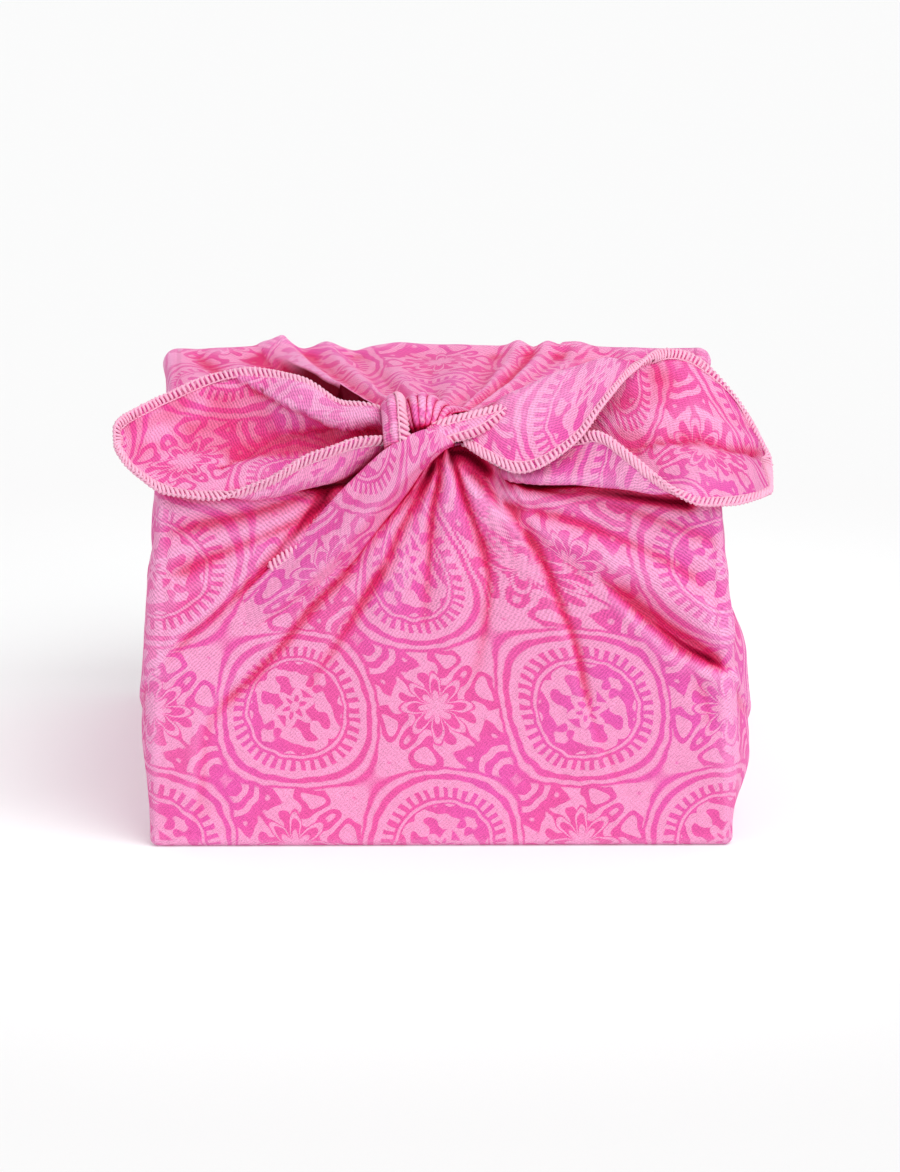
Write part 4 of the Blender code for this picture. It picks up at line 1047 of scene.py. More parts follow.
def makeBody():
    radius = wrap["edgeRadius"]
    edge = radius / 4
    half, back, knot, tall = wrap["widthBottom"] / 2, wrap["depth"] / 2, wrap["knotY"], wrap["height"]
    cell, (start, end), (front, rear) = bodyMesh["cell"], bodyMesh["middle"], bodyMesh["alongTop"]
    low, folded, high = bodyMesh["upright"]
    stops = (
        stopsBetween(((-half, edge), (-half + radius, bodyMesh["sides"]), (start, cell), (end, cell),
                      (half - radius, edge), (half, 1))),
        stopsBetween(((-back, edge), (-back + radius, front), (start, rear), (back - radius, edge), (back, 1))),
        stopsBetween(((0, edge), (radius, low), (folded, high), (tall - radius, edge), (tall, 1))),
    )
    gapY = [back + (knot - back) * share for share in (wrap["gapEnd"], wrap["gapStart"])]
    cells = [int(np.argmin(np.abs(np.array(stops[0]) - x))) for x in wrap["gapX"]]
    cells += [int(np.argmin(np.abs(np.array(stops[1]) - y))) for y in gapY]
    grid, faces, sides, rim = boxGrid(stops, cells, ring=4)
    pointSide = np.full(len(grid), "other", dtype="U6")
    for name in ("bottom", "left", "right", "back", "front", "top"):
        marked = np.unique(np.concatenate([f for f, s in zip(faces, sides) if s == name]))
        pointSide[marked] = name
    links = linksOf([f for f in faces if len(f) < 5])
    places, creaseShade, gap, outward = drape(grid, pointSide, links)
    # painted shade down in the folds and painted highlight on their crests; the shade fades out near the table
    deepShade, crown = paintedFoldLight(*meshRelief(places, outward, links, cell, bodyMesh["reliefSizes"]))
    creaseShade = np.maximum(creaseShade, deepShade) * ease(places[:, 2] / bodyMesh["footFade"])

    flatCount, uprightCount = bodyMesh["inner"]
    insideStops = [list(np.linspace(-(wrap[w] / 2 - wrap["inside"]), wrap[w] / 2 - wrap["inside"], flatCount))
                   for w in ("widthBottom", "depth")]
    insideStops.append(list(np.linspace(0, tall - 2 * wrap["inside"], uprightCount)))
    tops = np.array(insideStops[0]), np.array(insideStops[1])
    wanted = [int(np.argmin(np.abs(tops[0] - x))) for x in wrap["gapInside"]]
    wanted += [int(np.argmin(np.abs(tops[1] - y))) for y in gapY]
    innerGrid, innerFaces, innerSides, innerRim = boxGrid(insideStops, wanted)
    innerPlaces = hollowPlaces(innerGrid)
    first = len(grid)
    allPlaces = np.vstack([places, innerPlaces])
    innerFaces = [[n + first for n in f[::-1]] for f in innerFaces]
    innerRim = [n + first for n in innerRim]
    strip = zipFaces(rim, innerRim, allPlaces)
    allGrid = np.vstack([grid, innerGrid])
    allFaces = faces + innerFaces + [list(f) for f in strip]
    allSides = sides + innerSides + ["bottom"] * len(strip)
    maps = clothMaps(allGrid, allPlaces, allFaces, allSides)
    corners = np.concatenate([np.asarray(f) for f in allFaces])
    maps["clothMain"] = maps["clothMain"] + strandOffset(allPlaces, allFaces, allSides)[:, None] * [[1.0, 0.0]]
    maps["creaseShade"] = np.concatenate([creaseShade, np.zeros(len(innerPlaces))])[corners]
    maps["crown"] = np.concatenate([crown, np.zeros(len(innerPlaces))])[corners]
    # painted shadow in the knot's gaps, and over all of the hollow inside
    gap = np.maximum(gap, knotShadow(places))
    maps["gap"] = np.concatenate([gap, np.ones(len(innerPlaces))])[corners]
    maps["gap"][-sum(len(f) for f in strip):] = 1.0  # the rim of the opening is painted with full shadow
    height, bend, reach, elsewhere = bodyMesh["drawn"]
    tight = ease((places[:, 2] - height + bend * np.abs(places[:, 0])) / reach)
    drawn = np.where(pointSide == "front", tight, elsewhere)
    maps["drawn"] = np.concatenate([drawn, np.zeros(len(innerPlaces))])[corners]
    return makePiece("clothBody", allPlaces, allFaces, printedKnit, maps)


clothBody = makeBody()
print("body draped:", len(clothBody.data.polygons), "faces")


layer = {"thickness": 0.9}


def loft(rows, along, across):
    # rows of places, smoothed both ways
    rails = [curveThrough(rail, along) for rail in np.stack(rows, axis=1)]
    return np.stack([curveThrough(row, across) for row in np.stack(rails, axis=1)])


def layerNormals(surface):
    return unit(np.cross(np.gradient(surface, axis=0), np.gradient(surface, axis=1)))


def lengths(surface):
    # distances over the cloth along and across
    stepAlong = np.linalg.norm(np.diff(surface, axis=0), axis=2).mean(axis=1)
    along = np.concatenate([[0], np.cumsum(stepAlong)])
    stepAcross = np.linalg.norm(np.diff(surface, axis=1), axis=2)
    across = np.concatenate([np.zeros((len(surface), 1)), np.cumsum(stepAcross, axis=1)], axis=1)
    return np.repeat(along[:, None], surface.shape[1], axis=1), across


def makeLayer(name, surface, origin=(0, 0), turn=0.0, flip=False, flatMap=None, strong=1.0, sizes=(0.6, 2.0)):
    # a closed layer of cloth about the surface; origin and turn place it on the flat cloth
    rows, columns = surface.shape[:2]
    normal = layerNormals(surface) * (-1 if flip else 1)
    fine, broad = sheetRelief(surface, normal, sizes)
    paintedShadeAndHighlight = [np.concatenate([one.ravel(), other.ravel()])
             for one, other in zip(paintedFoldLight(fine, broad, strong), paintedFoldLight(-fine, -broad, strong))]
    half = layer["thickness"] / 2
    along, across = lengths(surface)
    c, s = math.cos(turn), math.sin(turn)
    flat = np.stack([origin[0] + along * c - across * s, origin[1] + along * s + across * c], axis=2)
    if flatMap is not None:
        flat = flatMap
    count = rows * columns
    places = np.vstack([(surface + normal * half).reshape(-1, 3), (surface - normal * half).reshape(-1, 3)])
    faces = gridFaces(rows, columns)
    if not flip:
        faces = [f[::-1] for f in faces]
    faces += [tuple(n + count for n in f[::-1]) for f in faces]
    rim = list(range(columns)) + [r * columns + columns - 1 for r in range(1, rows)]
    rim += [(rows - 1) * columns + k for k in range(columns - 2, -1, -1)]
    rim += [r * columns for r in range(rows - 2, 0, -1)]
    for n, a in enumerate(rim):
        b = rim[(n + 1) % len(rim)]
        faces.append((b, a, a + count, b + count) if flip else (a, b, b + count, a + count))
    uv = np.vstack([flat.reshape(-1, 2)] * 2)
    corners = np.concatenate([np.asarray(f) for f in faces])
    # the painted shade and painted highlight of its folds, and the painted shadow in the knot's gaps
    maps = {"clothMain": uv[corners], "clothSide": uv[corners], "lap": np.full(len(corners), -5.0),
            "creaseShade": paintedShadeAndHighlight[0][corners], "crown": paintedShadeAndHighlight[1][corners], "gap": knotShadow(places)[corners],
            "drawn": np.ones(len(corners))}
    return makePiece(name, places, faces, printedKnit, maps)


earTables = {
    # each row: x, then (y, z) of the first hem, the turn, the back wall, the base, the front turn and the second hem
    "leftEar": (
        (-14, (-96, 158), (-97, 155), (-95, 151), (-95, 147), (-99, 145), (-103, 151)),
        (-24, (-90, 160), (-97, 157), (-92, 150), (-95, 144.5), (-103, 142), (-108, 153)),
        (-36, (-83, 160), (-93, 155), (-90, 146), (-98, 140), (-108, 138), (-112, 151.5)),
        (-50, (-72, 165.5), (-83, 157), (-86, 144), (-98, 137.5), (-110, 134.5), (-115, 146.5)),
        (-66, (-62, 166.5), (-70, 155), (-82, 142), (-97, 137.5), (-111, 132.5), (-116, 137.5)),
        (-82, (-60, 164), (-67, 152), (-79, 142), (-94, 138), (-108, 134.5), (-115, 132.5)),
        (-98, (-66, 158.5), (-71, 150), (-80, 143), (-91, 139), (-102, 136), (-110, 133.5)),
        (-110, (-76, 155), (-79, 149.5), (-84, 145), (-90, 142), (-97, 140.5), (-103, 139.5)),
        (-117.5, (-88, 152.5), (-88.5, 151), (-89.5, 150), (-90.5, 149), (-91.7, 148), (-93, 147.5)),
    ),
    "rightEar": (
        (1, (-104, 151), (-100, 155.5), (-94, 152), (-95, 147), (-99, 145.5), (-101, 149.5)),
        (8, (-106, 150), (-100, 157), (-91, 152), (-93, 145), (-99, 143.5), (-101, 149)),
        (17, (-110.5, 145), (-98, 160), (-86, 153), (-91, 142.5), (-102, 140.5), (-101, 149)),
        (26, (-114, 142), (-97, 165), (-83, 153), (-92, 140), (-106, 138), (-101, 150)),
        (37, (-114, 144.5), (-90, 169.5), (-75, 152), (-92, 139), (-109.5, 137.5), (-102, 151)),
        (48, (-109, 152), (-84, 172.5), (-78, 154), (-95, 140), (-111, 137), (-103.5, 152)),
        (57, (-100, 161.5), (-79, 174), (-79, 154), (-95, 140), (-112, 136), (-107, 154)),
        (68, (-79, 169.5), (-70, 172), (-78, 153), (-95, 140), (-113.5, 134.5), (-114, 147)),
        (78, (-61, 172.5), (-62, 166), (-77, 151), (-94, 140), (-112, 133), (-115.5, 139)),
        (90, (-50.6, 169.0), (-57, 161), (-75, 148), (-93, 139.5), (-108.5, 134.5), (-114.5, 130)),
        (103, (-48.2, 157.4), (-55, 152), (-72, 142), (-86, 136), (-99, 131.5), (-108, 128.5)),
        (112.3, (-57, 145.4), (-61, 143), (-70, 138.5), (-80, 134.5), (-91, 131), (-100, 128)),
        (120, (-76, 134), (-78, 133), (-80, 132), (-82, 131), (-84.5, 129.5), (-87, 128)),
    ),
}
earLook = {
    "leftEar": {"inside": 1.0, "origin": (40.0, 300.0), "turn": 0.4},
    "rightEar": {"inside": -1.0, "origin": (-60.0, -300.0), "turn": -0.5},
    "along": 120, "across": 60,
    "fan": 1.3, "fanFade": 0.22, "fanTurns": (17.0, 9.0),
    "waves": 0.8, "waveTurns": (11.0, 3.0), "waveMiddle": (0.35, 0.3),
    "uneven": (0.35, 17.0, 11),      # height, length and seed
    "hemCalm": 0.10, "hemStill": 0.15, "sway": 0.5, "swayTurns": 38.0, "swayReach": 0.05,
    # strength and sizes of the painted shade and painted highlight of the ears' folds
    "folds": 1.15, "foldSizes": (1.2, 5.0),
}


earFolds = {
    # kind, (share along, share across) from the knot, heights, widths; a step is high towards the first hem
    "leftEar": (
        ("step", ((0.56, 0.03), (0.50, 0.10), (0.41, 0.19), (0.32, 0.22), (0.24, 0.25), (0.12, 0.33), (0.0, 0.38)),
         (1.2, 3.4), (5.0, 2.0)),
        ("crease", ((0.10, 0.34), (0.24, 0.28), (0.32, 0.32), (0.47, 0.37), (0.54, 0.45), (0.60, 0.58)),
         (2.6, 2.0), (3.0, 4.0)),
        ("ridge", ((0.0, 0.18), (0.16, 0.14), (0.30, 0.10), (0.44, 0.04)), (1.2, 0.6), (3.0, 4.0)),
        ("crease", ((0.0, 0.10), (0.14, 0.08), (0.28, 0.05)), (1.4, 0.5), (1.6, 2.0)),
        ("crease", ((0.0, 0.74), (0.16, 0.72), (0.34, 0.74), (0.52, 0.80)), (1.8, 0.5), (1.8, 3.0)),
        ("ridge", ((0.0, 0.85), (0.14, 0.86), (0.30, 0.88)), (1.2, 0.3), (2.0, 3.0)),
        ("ridge", ((0.66, 0.16), (0.78, 0.30), (0.90, 0.42)), (0.8, 0.6), (4.0, 4.0)),
    ),
    "rightEar": (
        ("crease", ((0.46, 0.60), (0.58, 0.53), (0.70, 0.48), (0.78, 0.43), (0.92, 0.42)), (1.4, 3.2), (4.0, 3.4)),
        ("ridge", ((0.52, 0.44), (0.66, 0.38), (0.80, 0.34), (0.92, 0.34)), (0.8, 1.4), (4.0, 4.0)),
        ("crease", ((0.0, 0.14), (0.12, 0.13), (0.26, 0.12), (0.40, 0.11)), (2.0, 0.6), (1.6, 2.6)),
        ("crease", ((0.0, 0.26), (0.14, 0.25), (0.30, 0.24)), (1.6, 0.4), (1.6, 3.0)),
        ("crease", ((0.02, 0.76), (0.20, 0.78), (0.38, 0.82), (0.54, 0.86)), (2.0, 0.6), (1.8, 3.0)),
        ("ridge", ((0.56, 0.14), (0.70, 0.16), (0.84, 0.22)), (1.0, 0.6), (4.0, 5.0)),
    ),
}


def earShift(name, surface):
    across = np.linspace(0, 1, surface.shape[1])[None, :]
    total = np.zeros(surface.shape[:2])
    for kind, points, heights, widths in earFolds[name]:
        steps = 8 * len(points)
        path = curveThrough(points, steps)
        nearest = np.full(surface.shape[:2], np.inf)
        rise = np.zeros(surface.shape[:2])
        for step, (s, t) in enumerate(np.clip(path, 0, 1)):
            i, j = s * (surface.shape[0] - 1), t * (surface.shape[1] - 1)
            spot = surface[int(round(i)), int(round(j))]
            distance = np.linalg.norm(surface - spot, axis=2) + 50.0 * (np.abs(across - t) > 0.3)
            share = step / (steps - 1)
            height = heights[0] + (heights[1] - heights[0]) * share
            width = widths[0] + (widths[1] - widths[0]) * share
            if kind == "ridge":
                shape = np.exp(-(distance / width) ** 2)
            elif kind == "crease":
                shape = -np.exp(-distance / width)
            else:
                shape = np.where(across < t, np.exp(-distance / width), 1.0 - ease(distance / 1.4))
            closer = distance < nearest
            nearest = np.where(closer, distance, nearest)
            rise = np.where(closer, height * shape, rise)
        total += rise
    return total * (0.25 + 0.75 * ease(np.minimum(across, 1 - across) / 0.05))


def makeEar(name):
    table, look = earTables[name], earLook[name]
    rows = [np.array([(row[0], *pair) for pair in row[1:]], float) for row in table]
    surface = loft(rows, earLook["along"], earLook["across"])
    normal = layerNormals(surface)
    inside = normal * look["inside"]
    along = np.linspace(0, 1, surface.shape[0])[:, None]
    across = np.linspace(0, 1, surface.shape[1])[None, :]
    # gathers fan out from the knot and die away towards the point; the hems stay calm
    fan = earLook["fan"] * np.exp(-along / earLook["fanFade"])
    often, drift = earLook["fanTurns"]
    fan = fan * np.abs(np.sin(across * often + 0.8 * np.sin(across * drift)))
    (overIt, alongIt), (middle, reach) = earLook["waveTurns"], earLook["waveMiddle"]
    waves = earLook["waves"] * np.sin(across * overIt + along * alongIt) * np.exp(-((along - middle) / reach) ** 2)
    border, still = earLook["hemCalm"], earLook["hemStill"]
    calm = np.minimum(ease(across / border), ease((1 - across) / border)) * (1.0 - still) + still
    height, length, seed = earLook["uneven"]
    uneven = height * ripple(surface.reshape(-1, 3), length, seed).reshape(surface.shape[:2])
    shift = earShift(name, surface) * (1.0 - ease((along - 0.92) / 0.08))
    surface = surface + normal * ((fan + waves + uneven) * calm)[:, :, None]
    surface = surface + inside * shift[:, :, None]
    # hems wave a little, as stretched overlocked edges do
    reach = earLook["swayReach"]
    sway = earLook["sway"] * np.sin(along * earLook["swayTurns"] + 0.7)
    sway = sway * (np.exp(-across / reach) + np.exp(-(1 - across) / reach))
    surface = surface + normal * (sway * ease(along / 0.15) * (1.0 - ease((along - 0.9) / 0.1)))[:, :, None]
    piece = makeLayer(name, surface[:-3], look["origin"], look["turn"], strong=earLook["folds"],
                      sizes=earLook["foldSizes"])
    return piece, surface


leftEar, leftSurface = makeEar("leftEar")
rightEar, rightSurface = makeEar("rightEar")
print("ears made")


knotTables = {
    # each row: left border, crown and right border of the strand, as places
    "frontRoll": (
        ((-75, -103.6, 81), (-79, -104.4, 84.5), (-72, -105.6, 80), (-66, -104.0, 71)),
        ((-64, -103.6, 91), (-69.5, -106.2, 95.5), (-62, -108.2, 89), (-53, -104.0, 83)),
        ((-53, -103.8, 101), (-59.0, -107.6, 106.5), (-50, -110.8, 100), (-40, -103.8, 95)),
        ((-42, -104.5, 113), (-48.2, -109.6, 118.5), (-38, -113.2, 112), (-27, -103.8, 108)),
        ((-32, -105.5, 125), (-38.2, -110.6, 130.5), (-28, -114.8, 124.5), (-17.5, -104.0, 121)),
        ((-23, -106.0, 135), (-29.0, -110.6, 140.0), (-19, -115.4, 134.5), (-10.5, -105.0, 131)),
        ((-15.5, -107.0, 143.5), (-20.8, -111.8, 148.0), (-12.5, -116.0, 141.8), (-6.0, -106.0, 139)),
        ((-9.5, -107.0, 149), (-13.6, -111.8, 152.8), (-6.5, -115.6, 147.5), (-2.6, -107.0, 144)),
        ((-3.5, -106.0, 153), (-5.5, -110.4, 155.8), (-1.0, -114.2, 151), (0.6, -107.0, 147)),
        ((1.6, -104.0, 152.5), (1.0, -107.4, 154.6), (3.0, -110.5, 151.5), (2.6, -106.0, 148.6)),
        ((3.8, -101.0, 150), (3.4, -101.8, 151), (4.4, -103.5, 149.5), (3.6, -102.5, 147.5)),
    ),
    "fanPleats": (
        ((-19.5, -56, 147.5), (-4, -56, 149.0), (15, -56, 148.5)),
        ((-20.0, -70, 152.0), (-6, -70, 156.6), (10, -70, 153.0)),
        ((-19.5, -84, 156.5), (-6.5, -84, 162.0), (7, -84, 156.5)),
        ((-17, -95, 159.0), (-7, -95, 165.2), (4, -95, 158.5)),
        ((-15, -102, 157.5), (-7, -103, 164.5), (1.5, -101, 157)),
        ((-13.5, -104, 155), (-7, -106.5, 160), (-0.5, -103, 155)),
        ((-11.5, -104, 151.5), (-6.8, -106, 155), (-2.6, -103.5, 152)),
        ((-9.5, -103.5, 147.5), (-6.2, -104.5, 149), (-3.5, -103, 148)),
    ),
    "kneeBand": (
        ((-21.5, -86, 157.5), (-18.6, -86, 160.5), (-14.5, -86, 160)),
        ((-21.6, -95, 160.5), (-18.2, -96, 165.0), (-13.8, -95, 164)),
        ((-21.2, -102, 160.0), (-17.8, -104.5, 164.5), (-13.4, -103, 163.2)),
        ((-20.8, -106.5, 156.5), (-17.2, -109.6, 159.5), (-12.6, -108.6, 158.8)),
        ((-20.4, -108.5, 151.5), (-16.6, -111.8, 153.5), (-11.8, -111.0, 153.5)),
        ((-20.0, -108.0, 146.5), (-16.2, -110.6, 147.5), (-11.4, -109.6, 148.0)),
    ),
    "rootFold": (
        ((-4.5, -105.5, 150.0), (-4.5, -108.4, 153.0), (-4.6, -103.5, 156.2)),
        ((0.0, -107.6, 150.8), (-0.2, -109.6, 154.0), (-0.4, -103.8, 157.6)),
        ((6.0, -108.0, 152.0), (5.9, -108.6, 155.4), (5.6, -102.6, 159.0)),
        ((12.5, -106.6, 153.6), (12.3, -106.9, 157.0), (12.0, -101.2, 160.2)),
        ((19.5, -103.8, 156.8), (19.0, -103.6, 159.4), (18.4, -99.6, 161.4)),
        ((25.5, -99.6, 159.8), (25.0, -98.8, 161.4), (24.2, -96.8, 162.4)),
    ),
    "smallTuck": (
        ((-6.0, -108.0, 151.0), (-5.4, -109.8, 153.6), (-5.2, -105.5, 156.4)),
        ((-2.0, -110.0, 151.2), (-1.6, -111.0, 154.2), (-1.6, -106.0, 157.2)),
        ((1.6, -109.0, 151.0), (2.0, -109.8, 153.6), (2.2, -105.2, 156.8)),
    ),
    "tuckedHem": (
        ((-62.5, -106.4, 105.5), (-60.5, -107.2, 103.6), (-57.0, -105.0, 100.5)),
        ((-57.5, -107.8, 110.4), (-55.4, -108.4, 108.2), (-51.0, -105.5, 104.0)),
        ((-52.0, -108.6, 115.4), (-49.8, -109.0, 113.0), (-45.0, -105.5, 108.5)),
        ((-46.5, -108.8, 120.6), (-44.4, -109.0, 118.0), (-39.5, -105.5, 113.5)),
        ((-42.5, -107.6, 124.0), (-40.5, -107.8, 121.4), (-36.0, -105.0, 117.5)),
    ),
}


def ungather(surface):
    # place on the flat cloth of a layer that lies on the front
    x, z = surface[..., 0], np.minimum(surface[..., 2], wrap["height"])
    drop = np.clip(1.0 - (wrap["height"] - z) / wrap["gatherDrop"], 0.0, 1.0)
    half = wrap["widthBottom"] / 2
    reach = ease((half - np.abs(x)) / (half - wrap["gatherFlat"]))
    return np.stack([x / (1.0 - wrap["gatherEdge"] * drop * reach), -wrap["depth"] / 2 - surface[..., 2]], axis=2)


def makeKnotPart(name, along, across, folds=0, depth=0.0, **how):
    surface = loft([np.array(row, float) for row in knotTables[name]], along, across)
    normal = layerNormals(surface)
    facing = np.where((normal * np.array([0.0, -0.8, 0.6])).sum(axis=2).mean() < 0, -1.0, 1.0)
    t = np.linspace(0, 1, across)[None, :]
    s = np.linspace(0, 1, along)[:, None]
    if folds:
        wave = np.abs(np.sin(np.pi * folds * (t + 0.03 * np.sin(7 * t)))) ** 0.7 - 0.6
        surface = surface + normal * facing * (depth * wave * np.sin(np.pi * (0.12 + 0.8 * s)))[:, :, None]
    flatMap = ungather(surface) if how.pop("onFront", False) else None
    return makeLayer(name, surface, flip=bool(facing < 0), flatMap=flatMap, **how), surface


frontRoll, _ = makeKnotPart("frontRoll", 150, 56, folds=4, depth=0.7, onFront=True)
fanPleats, _ = makeKnotPart("fanPleats", 80, 70, folds=7, depth=1.3, origin=(10, 520), turn=0.2)
kneeBand, bandSurface = makeKnotPart("kneeBand", 50, 36, folds=3, depth=0.6, origin=(80, 90), turn=0.8)
rootFold, rootSurface = makeKnotPart("rootFold", 50, 24, origin=(150, 40), turn=0.3)
smallTuck, _ = makeKnotPart("smallTuck", 30, 20, folds=2, depth=0.4, origin=(170, 90), turn=0.3)
tuckedHem, tuckedSurface = makeKnotPart("tuckedHem", 40, 16, origin=(30, 190), turn=0.9)
print("knot tied")


hem = {
    "width": 3.5, "pitch": 1.85, "lean": 0.95,
    "bar": 0.57,         # half the thickness of the wrapping thread
    "swell": (0.6, 0.85, 1.05, 1.05, 0.95, 1.05, 1.05, 0.85, 0.6),   # its stoutness from end to end
    "edgeThread": 0.42, "needleThread": 0.30,
    # one half of a stitch: how far inward, in widths and millimetres, how high, in lifts and millimetres,
    # and its lean along the hem
    "stitch": ((1.0, 0.0, 1.0, -0.40, -0.5), (0.82, 0.0, 1.0, 0.0, -0.36), (0.45, 0.0, 1.0, 0.16, -0.02),
               (0.0, 0.25, 0.9, 0.0, 0.34)),
    "edgeLean": 0.46, "steps": 13,
    "sides": 6, "fineSides": 5, "fineStep": 0.62,
}


def tube(path, radius, sides):
    path = np.asarray(path, float)
    along = unit(np.gradient(path, axis=0))
    helper = np.where(np.abs(along[:, 2:3]) < 0.8, [[0.0, 0.0, 1.0]], [[1.0, 0.0, 0.0]])
    helper = np.repeat(helper[len(helper) // 2][None, :], len(path), axis=0)
    one = unit(np.cross(along, helper))
    two = np.cross(along, one)
    angles = np.arange(sides) * 2 * np.pi / sides
    radius = np.broadcast_to(radius, (len(path),))
    ring = one[:, None] * np.cos(angles)[None, :, None] + two[:, None] * np.sin(angles)[None, :, None]
    places = (path[:, None] + ring * radius[:, None, None]).reshape(-1, 3)
    faces = gridFaces(len(path), sides, closed=True)
    faces.append(tuple(range(sides - 1, -1, -1)))
    faces.append(tuple(range((len(path) - 1) * sides, len(path) * sides)))
    return places, faces


def evenly(path, extras, pitch):
    length = np.concatenate([[0], np.cumsum(np.linalg.norm(np.diff(path, axis=0), axis=1))])
    count = max(2, int(length[-1] / pitch) + 1)
    at = np.linspace(0, length[-1], count)

    def pick(values):
        return np.stack([np.interp(at, length, values[:, k]) for k in range(values.shape[1])], axis=1)

    return pick(path), [pick(e) for e in extras], length[-1]


def stitchHem(parts, edge, inward, normal, seed, stout=1.0):
    # parts collects (places, faces); edge, inward and normal run along the hem
    spread = np.random.default_rng(seed)
    half = layer["thickness"] / 2
    path, (inside, up), _ = evenly(edge, (inward, normal), hem["pitch"])
    inside, up = unit(inside), unit(up)
    onward = unit(np.gradient(path, axis=0))
    width, steps = hem["width"], hem["steps"]
    lift = half + hem["bar"] * 0.55
    for n in range(len(path)):
        p, i, u, a = path[n], inside[n], up[n], onward[n] * hem["pitch"]
        w = width * spread.uniform(0.94, 1.05)
        lean = hem["lean"] * spread.uniform(0.85, 1.12)
        out = 0.45 + spread.uniform(-0.12, 0.25)
        upper, lower = ([p + i * (w * share + more) + u * face * (lift * rise + higher) + a * lean * along
                         for share, more, rise, higher, along in hem["stitch"]] for face in (1, -1))
        points = upper + [p - i * out + a * lean * hem["edgeLean"]] + lower[::-1]
        radius = stout * hem["bar"] * np.array(hem["swell"]) * spread.uniform(0.9, 1.08)
        radius = np.interp(np.linspace(0, len(points) - 1, steps), range(len(points)), radius)
        parts.append(tube(curveThrough(points, steps), radius, hem["sides"]))
    fine, (inFine, upFine), total = evenly(edge, (inward, normal), hem["fineStep"])
    inFine, upFine = unit(inFine), unit(upFine)
    phase = np.linspace(0, total / hem["pitch"] * 2 * np.pi, len(fine))
    chain = fine - inFine * (0.22 + 0.16 * np.cos(phase)[:, None]) + upFine * 0.25 * np.sin(phase)[:, None]
    parts.append(tube(chain, hem["edgeThread"] * (1 + 0.25 * np.cos(phase)), hem["fineSides"]))
    for face in (1, -1):
        needle = fine + inFine * (width - 0.25) + upFine * face * (half + 0.12 + 0.10 * np.cos(phase)[:, None])
        parts.append(tube(needle, hem["needleThread"], hem["fineSides"]))


def gatherParts(name, parts):
    places, faces, start = [], [], 0
    for some, theirs in parts:
        places.append(some)
        faces += [tuple(n + start for n in f) for f in theirs]
        start += len(some)
    return makePiece(name, np.vstack(places), faces, paleThread)


def rimOf(surface, begin=0.0):
    # the hemmed rim of an ear: out along the first border, round the point and back along the second
    normal = layerNormals(surface)
    start, end = int(begin * len(surface)), len(surface) - 3
    middle = surface[-14].mean(axis=0)
    tip = surface[end, 1:-1]
    path = np.vstack([surface[start:end, 0], tip, surface[start:end, -1][::-1]])
    inward = np.vstack([unit(surface[start:end, 4] - surface[start:end, 0]), unit(middle - tip),
                        unit(surface[start:end, -5] - surface[start:end, -1])[::-1]])
    up = np.vstack([normal[start:end, 0], normal[end - 4, 1:-1], normal[start:end, -1][::-1]])
    path, (inward, up), _ = evenly(path, (inward, up), 0.7)
    for _ in range(7):
        path[1:-1] = (path[:-2] + path[1:-1] * 2 + path[2:]) / 4
        inward[1:-1] = unit(inward[:-2] + inward[1:-1] * 2 + inward[2:])
        up[1:-1] = unit(up[:-2] + up[1:-1] * 2 + up[2:])
    inward = inward - up * (inward * up).sum(axis=1)[:, None]
    return path, unit(inward), up


def borderOf(surface, last, span=(0.0, 1.0)):
    # one long border of a strand
    normal = layerNormals(surface)
    edge, near = (-1, -4) if last else (0, 3)
    a, b = (int(v * (len(surface) - 1)) for v in span)
    inward = surface[a:b + 1, near] - surface[a:b + 1, edge]
    return surface[a:b + 1, edge], unit(inward), normal[a:b + 1, edge]


leftParts, rightParts, knotParts = [], [], []
stitchHem(leftParts, *rimOf(leftSurface, 0.03), seed=21)
stitchHem(rightParts, *rimOf(rightSurface, 0.09), seed=22)
stitchHem(knotParts, *borderOf(bandSurface, True, (0.1, 0.95)), seed=23, stout=1.35)
stitchHem(knotParts, *borderOf(rootSurface, True, (0.12, 0.95)), seed=24, stout=1.25)
stitchHem(knotParts, *borderOf(rootSurface, False, (0.12, 0.95)), seed=25, stout=1.15)
stitchHem(knotParts, *borderOf(tuckedSurface, False, (0.06, 0.9)), seed=26, stout=1.1)
leftHem = gatherParts("leftEarHem", leftParts)
rightHem = gatherParts("rightEarHem", rightParts)
knotHem = gatherParts("knotHems", knotParts)
print("hems stitched:", sum(len(o.data.polygons) for o in (leftHem, rightHem, knotHem)), "faces")

knotCloths = [frontRoll, fanPleats, kneeBand, rootFold, smallTuck, tuckedHem]
cloths = [clothBody, leftEar, rightEar] + knotCloths
threads = [leftHem, rightHem, knotHem]
paintEnclosedShade(cloths)
print("folds deepened")

for piece in cloths:
    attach(piece, "root")
for piece in threads:
    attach(piece, "root")
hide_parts("furoshiki_cloth")


studio = {
    # the floor is evenly pale; near the wrap it is painted lighter and cooler and glows a little, painted light that
    # washes out the wrap's shadow and the pink light it throws
    "floor": (0.820, 0.830, 0.827, 1.0), "floorNearPaintedLight": (0.845, 0.895, 0.880, 1.0), "paintedLightPool": 0.15,
    "near": (0.27, 0.36), "floorRoughness": 0.85, "floorSpecular": 0.1, "floorGrain": (60.0, 0.05),
    "world": (1.0, 0.985, 0.99, 1.0), "worldStrength": 0.78,
    "key": 1.75, "keyFrom": (0.8, -1.0, 1.35), "keySoftness": 48.0,
    "camera": (-0.026230, -3.461310, 0.996664),
    "lookUp": -15.0, "turn": -0.5, "lens": 298.6,
}


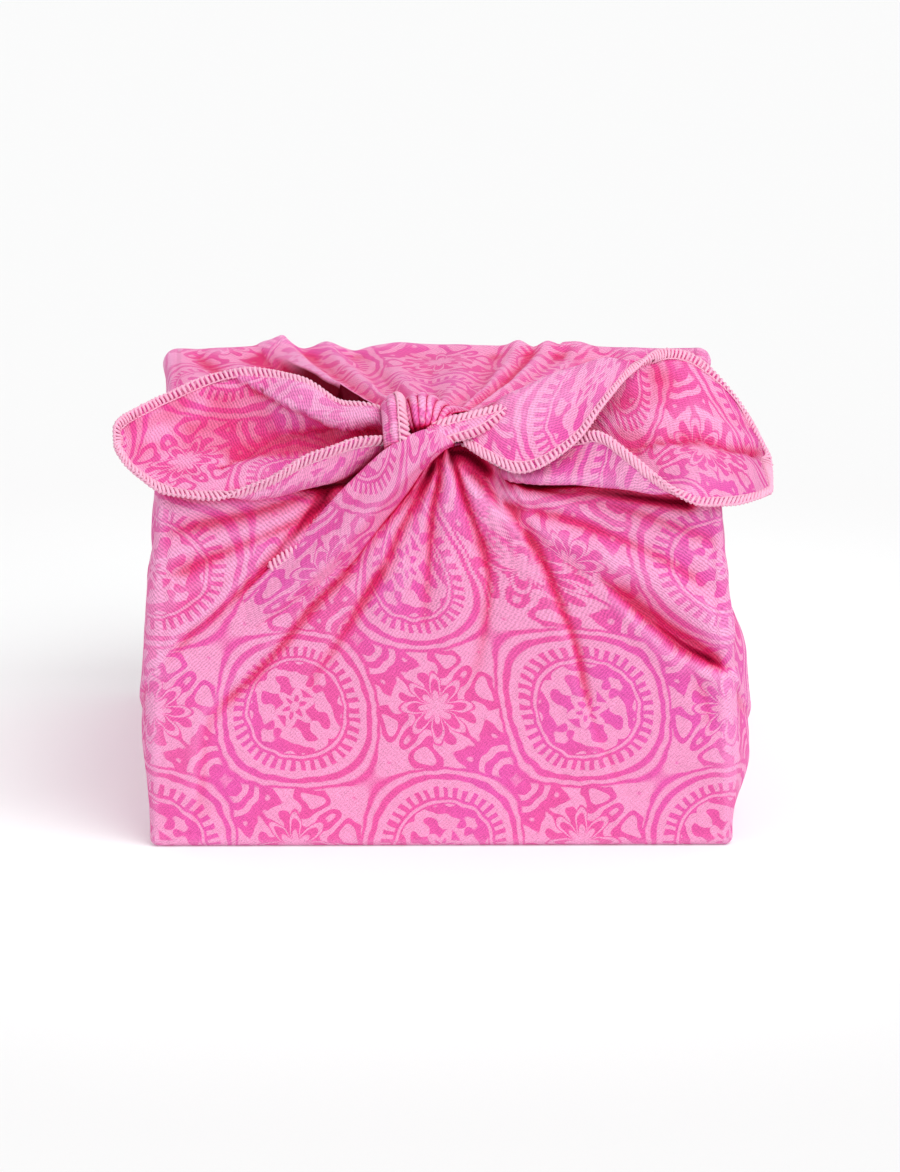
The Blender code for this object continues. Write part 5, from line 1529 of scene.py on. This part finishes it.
def makeFloor():
    material = bpy.data.materials.new("paleFloor")
    mix = finishMixer(material)
    shader = mix.tree.nodes["Principled BSDF"]
    where = mix.node("ShaderNodeTexCoord").outputs["Object"]
    # a painted pool of light round the wrap: a lighter, cooler floor that glows a little
    far = mix.node("ShaderNodeVectorMath", operation="LENGTH")
    mix.join(where, far.inputs[0])
    near = mix.sum("SUBTRACT", 1.0, mix.above(far.outputs["Value"], *studio["near"]))
    near = mix.sum("MULTIPLY", mix.sum("MULTIPLY", near, near), mix.sum("MULTIPLY_ADD", near, -2.0, 3.0))
    tint = mix.node("ShaderNodeMix", data_type="RGBA")
    mix.join(near, tint.inputs["Factor"])
    tint.inputs[6].default_value = studio["floor"]
    tint.inputs[7].default_value = studio["floorNearPaintedLight"]
    mix.join(tint.outputs[2], shader.inputs["Base Color"])
    shader.inputs["Emission Color"].default_value = (1.0, 1.0, 1.0, 1.0)
    mix.join(mix.sum("MULTIPLY", near, studio["paintedLightPool"]), shader.inputs["Emission Strength"])
    shader.inputs["Roughness"].default_value = studio["floorRoughness"]
    shader.inputs["Specular IOR Level"].default_value = studio["floorSpecular"]
    scale, strength = studio["floorGrain"]
    bump = mix.node("ShaderNodeBump")
    bump.inputs["Strength"].default_value = strength
    mix.join(mix.noise(where, scale, 3.0, 0.6), bump.inputs["Height"])
    mix.join(bump.outputs[0], shader.inputs["Normal"])
    mesh = bpy.data.meshes.new("floor")
    mesh.from_pydata([(-9, -9, 0), (9, -9, 0), (9, 9, 0), (-9, 9, 0)], [], [(0, 1, 2, 3)])
    mesh.materials.append(material)
    floor = bpy.data.objects.new("floor", mesh)
    bpy.context.collection.objects.link(floor)


def makeKeyLight():
    light = bpy.data.lights.new("keyLight", "SUN")
    light.energy = studio["key"]
    light.angle = math.radians(studio["keySoftness"])
    item = bpy.data.objects.new("keyLight", light)
    item.rotation_euler = (-Vector(studio["keyFrom"])).to_track_quat("-Z", "Y").to_euler()
    bpy.context.collection.objects.link(item)


def makeCamera():
    lens = bpy.data.cameras.new("camera")
    lens.lens = studio["lens"]
    lens.sensor_width = 36.0
    lens.sensor_fit = "AUTO"
    lens.clip_start, lens.clip_end = 0.1, 60.0
    camera = bpy.data.objects.new("camera", lens)
    camera.location = studio["camera"]
    camera.rotation_euler = (math.radians(90 + studio["lookUp"]), 0.0, math.radians(studio["turn"]))
    bpy.context.collection.objects.link(camera)
    bpy.context.scene.camera = camera


makeFloor()
makeKeyLight()
makeCamera()
world = bpy.data.worlds.new("studio")
bpy.context.scene.world = world
world.use_nodes = True
world.node_tree.nodes["Background"].inputs[0].default_value = studio["world"]
world.node_tree.nodes["Background"].inputs[1].default_value = studio["worldStrength"]
bpy.context.scene.view_settings.view_transform = "Standard"
print("studio set")
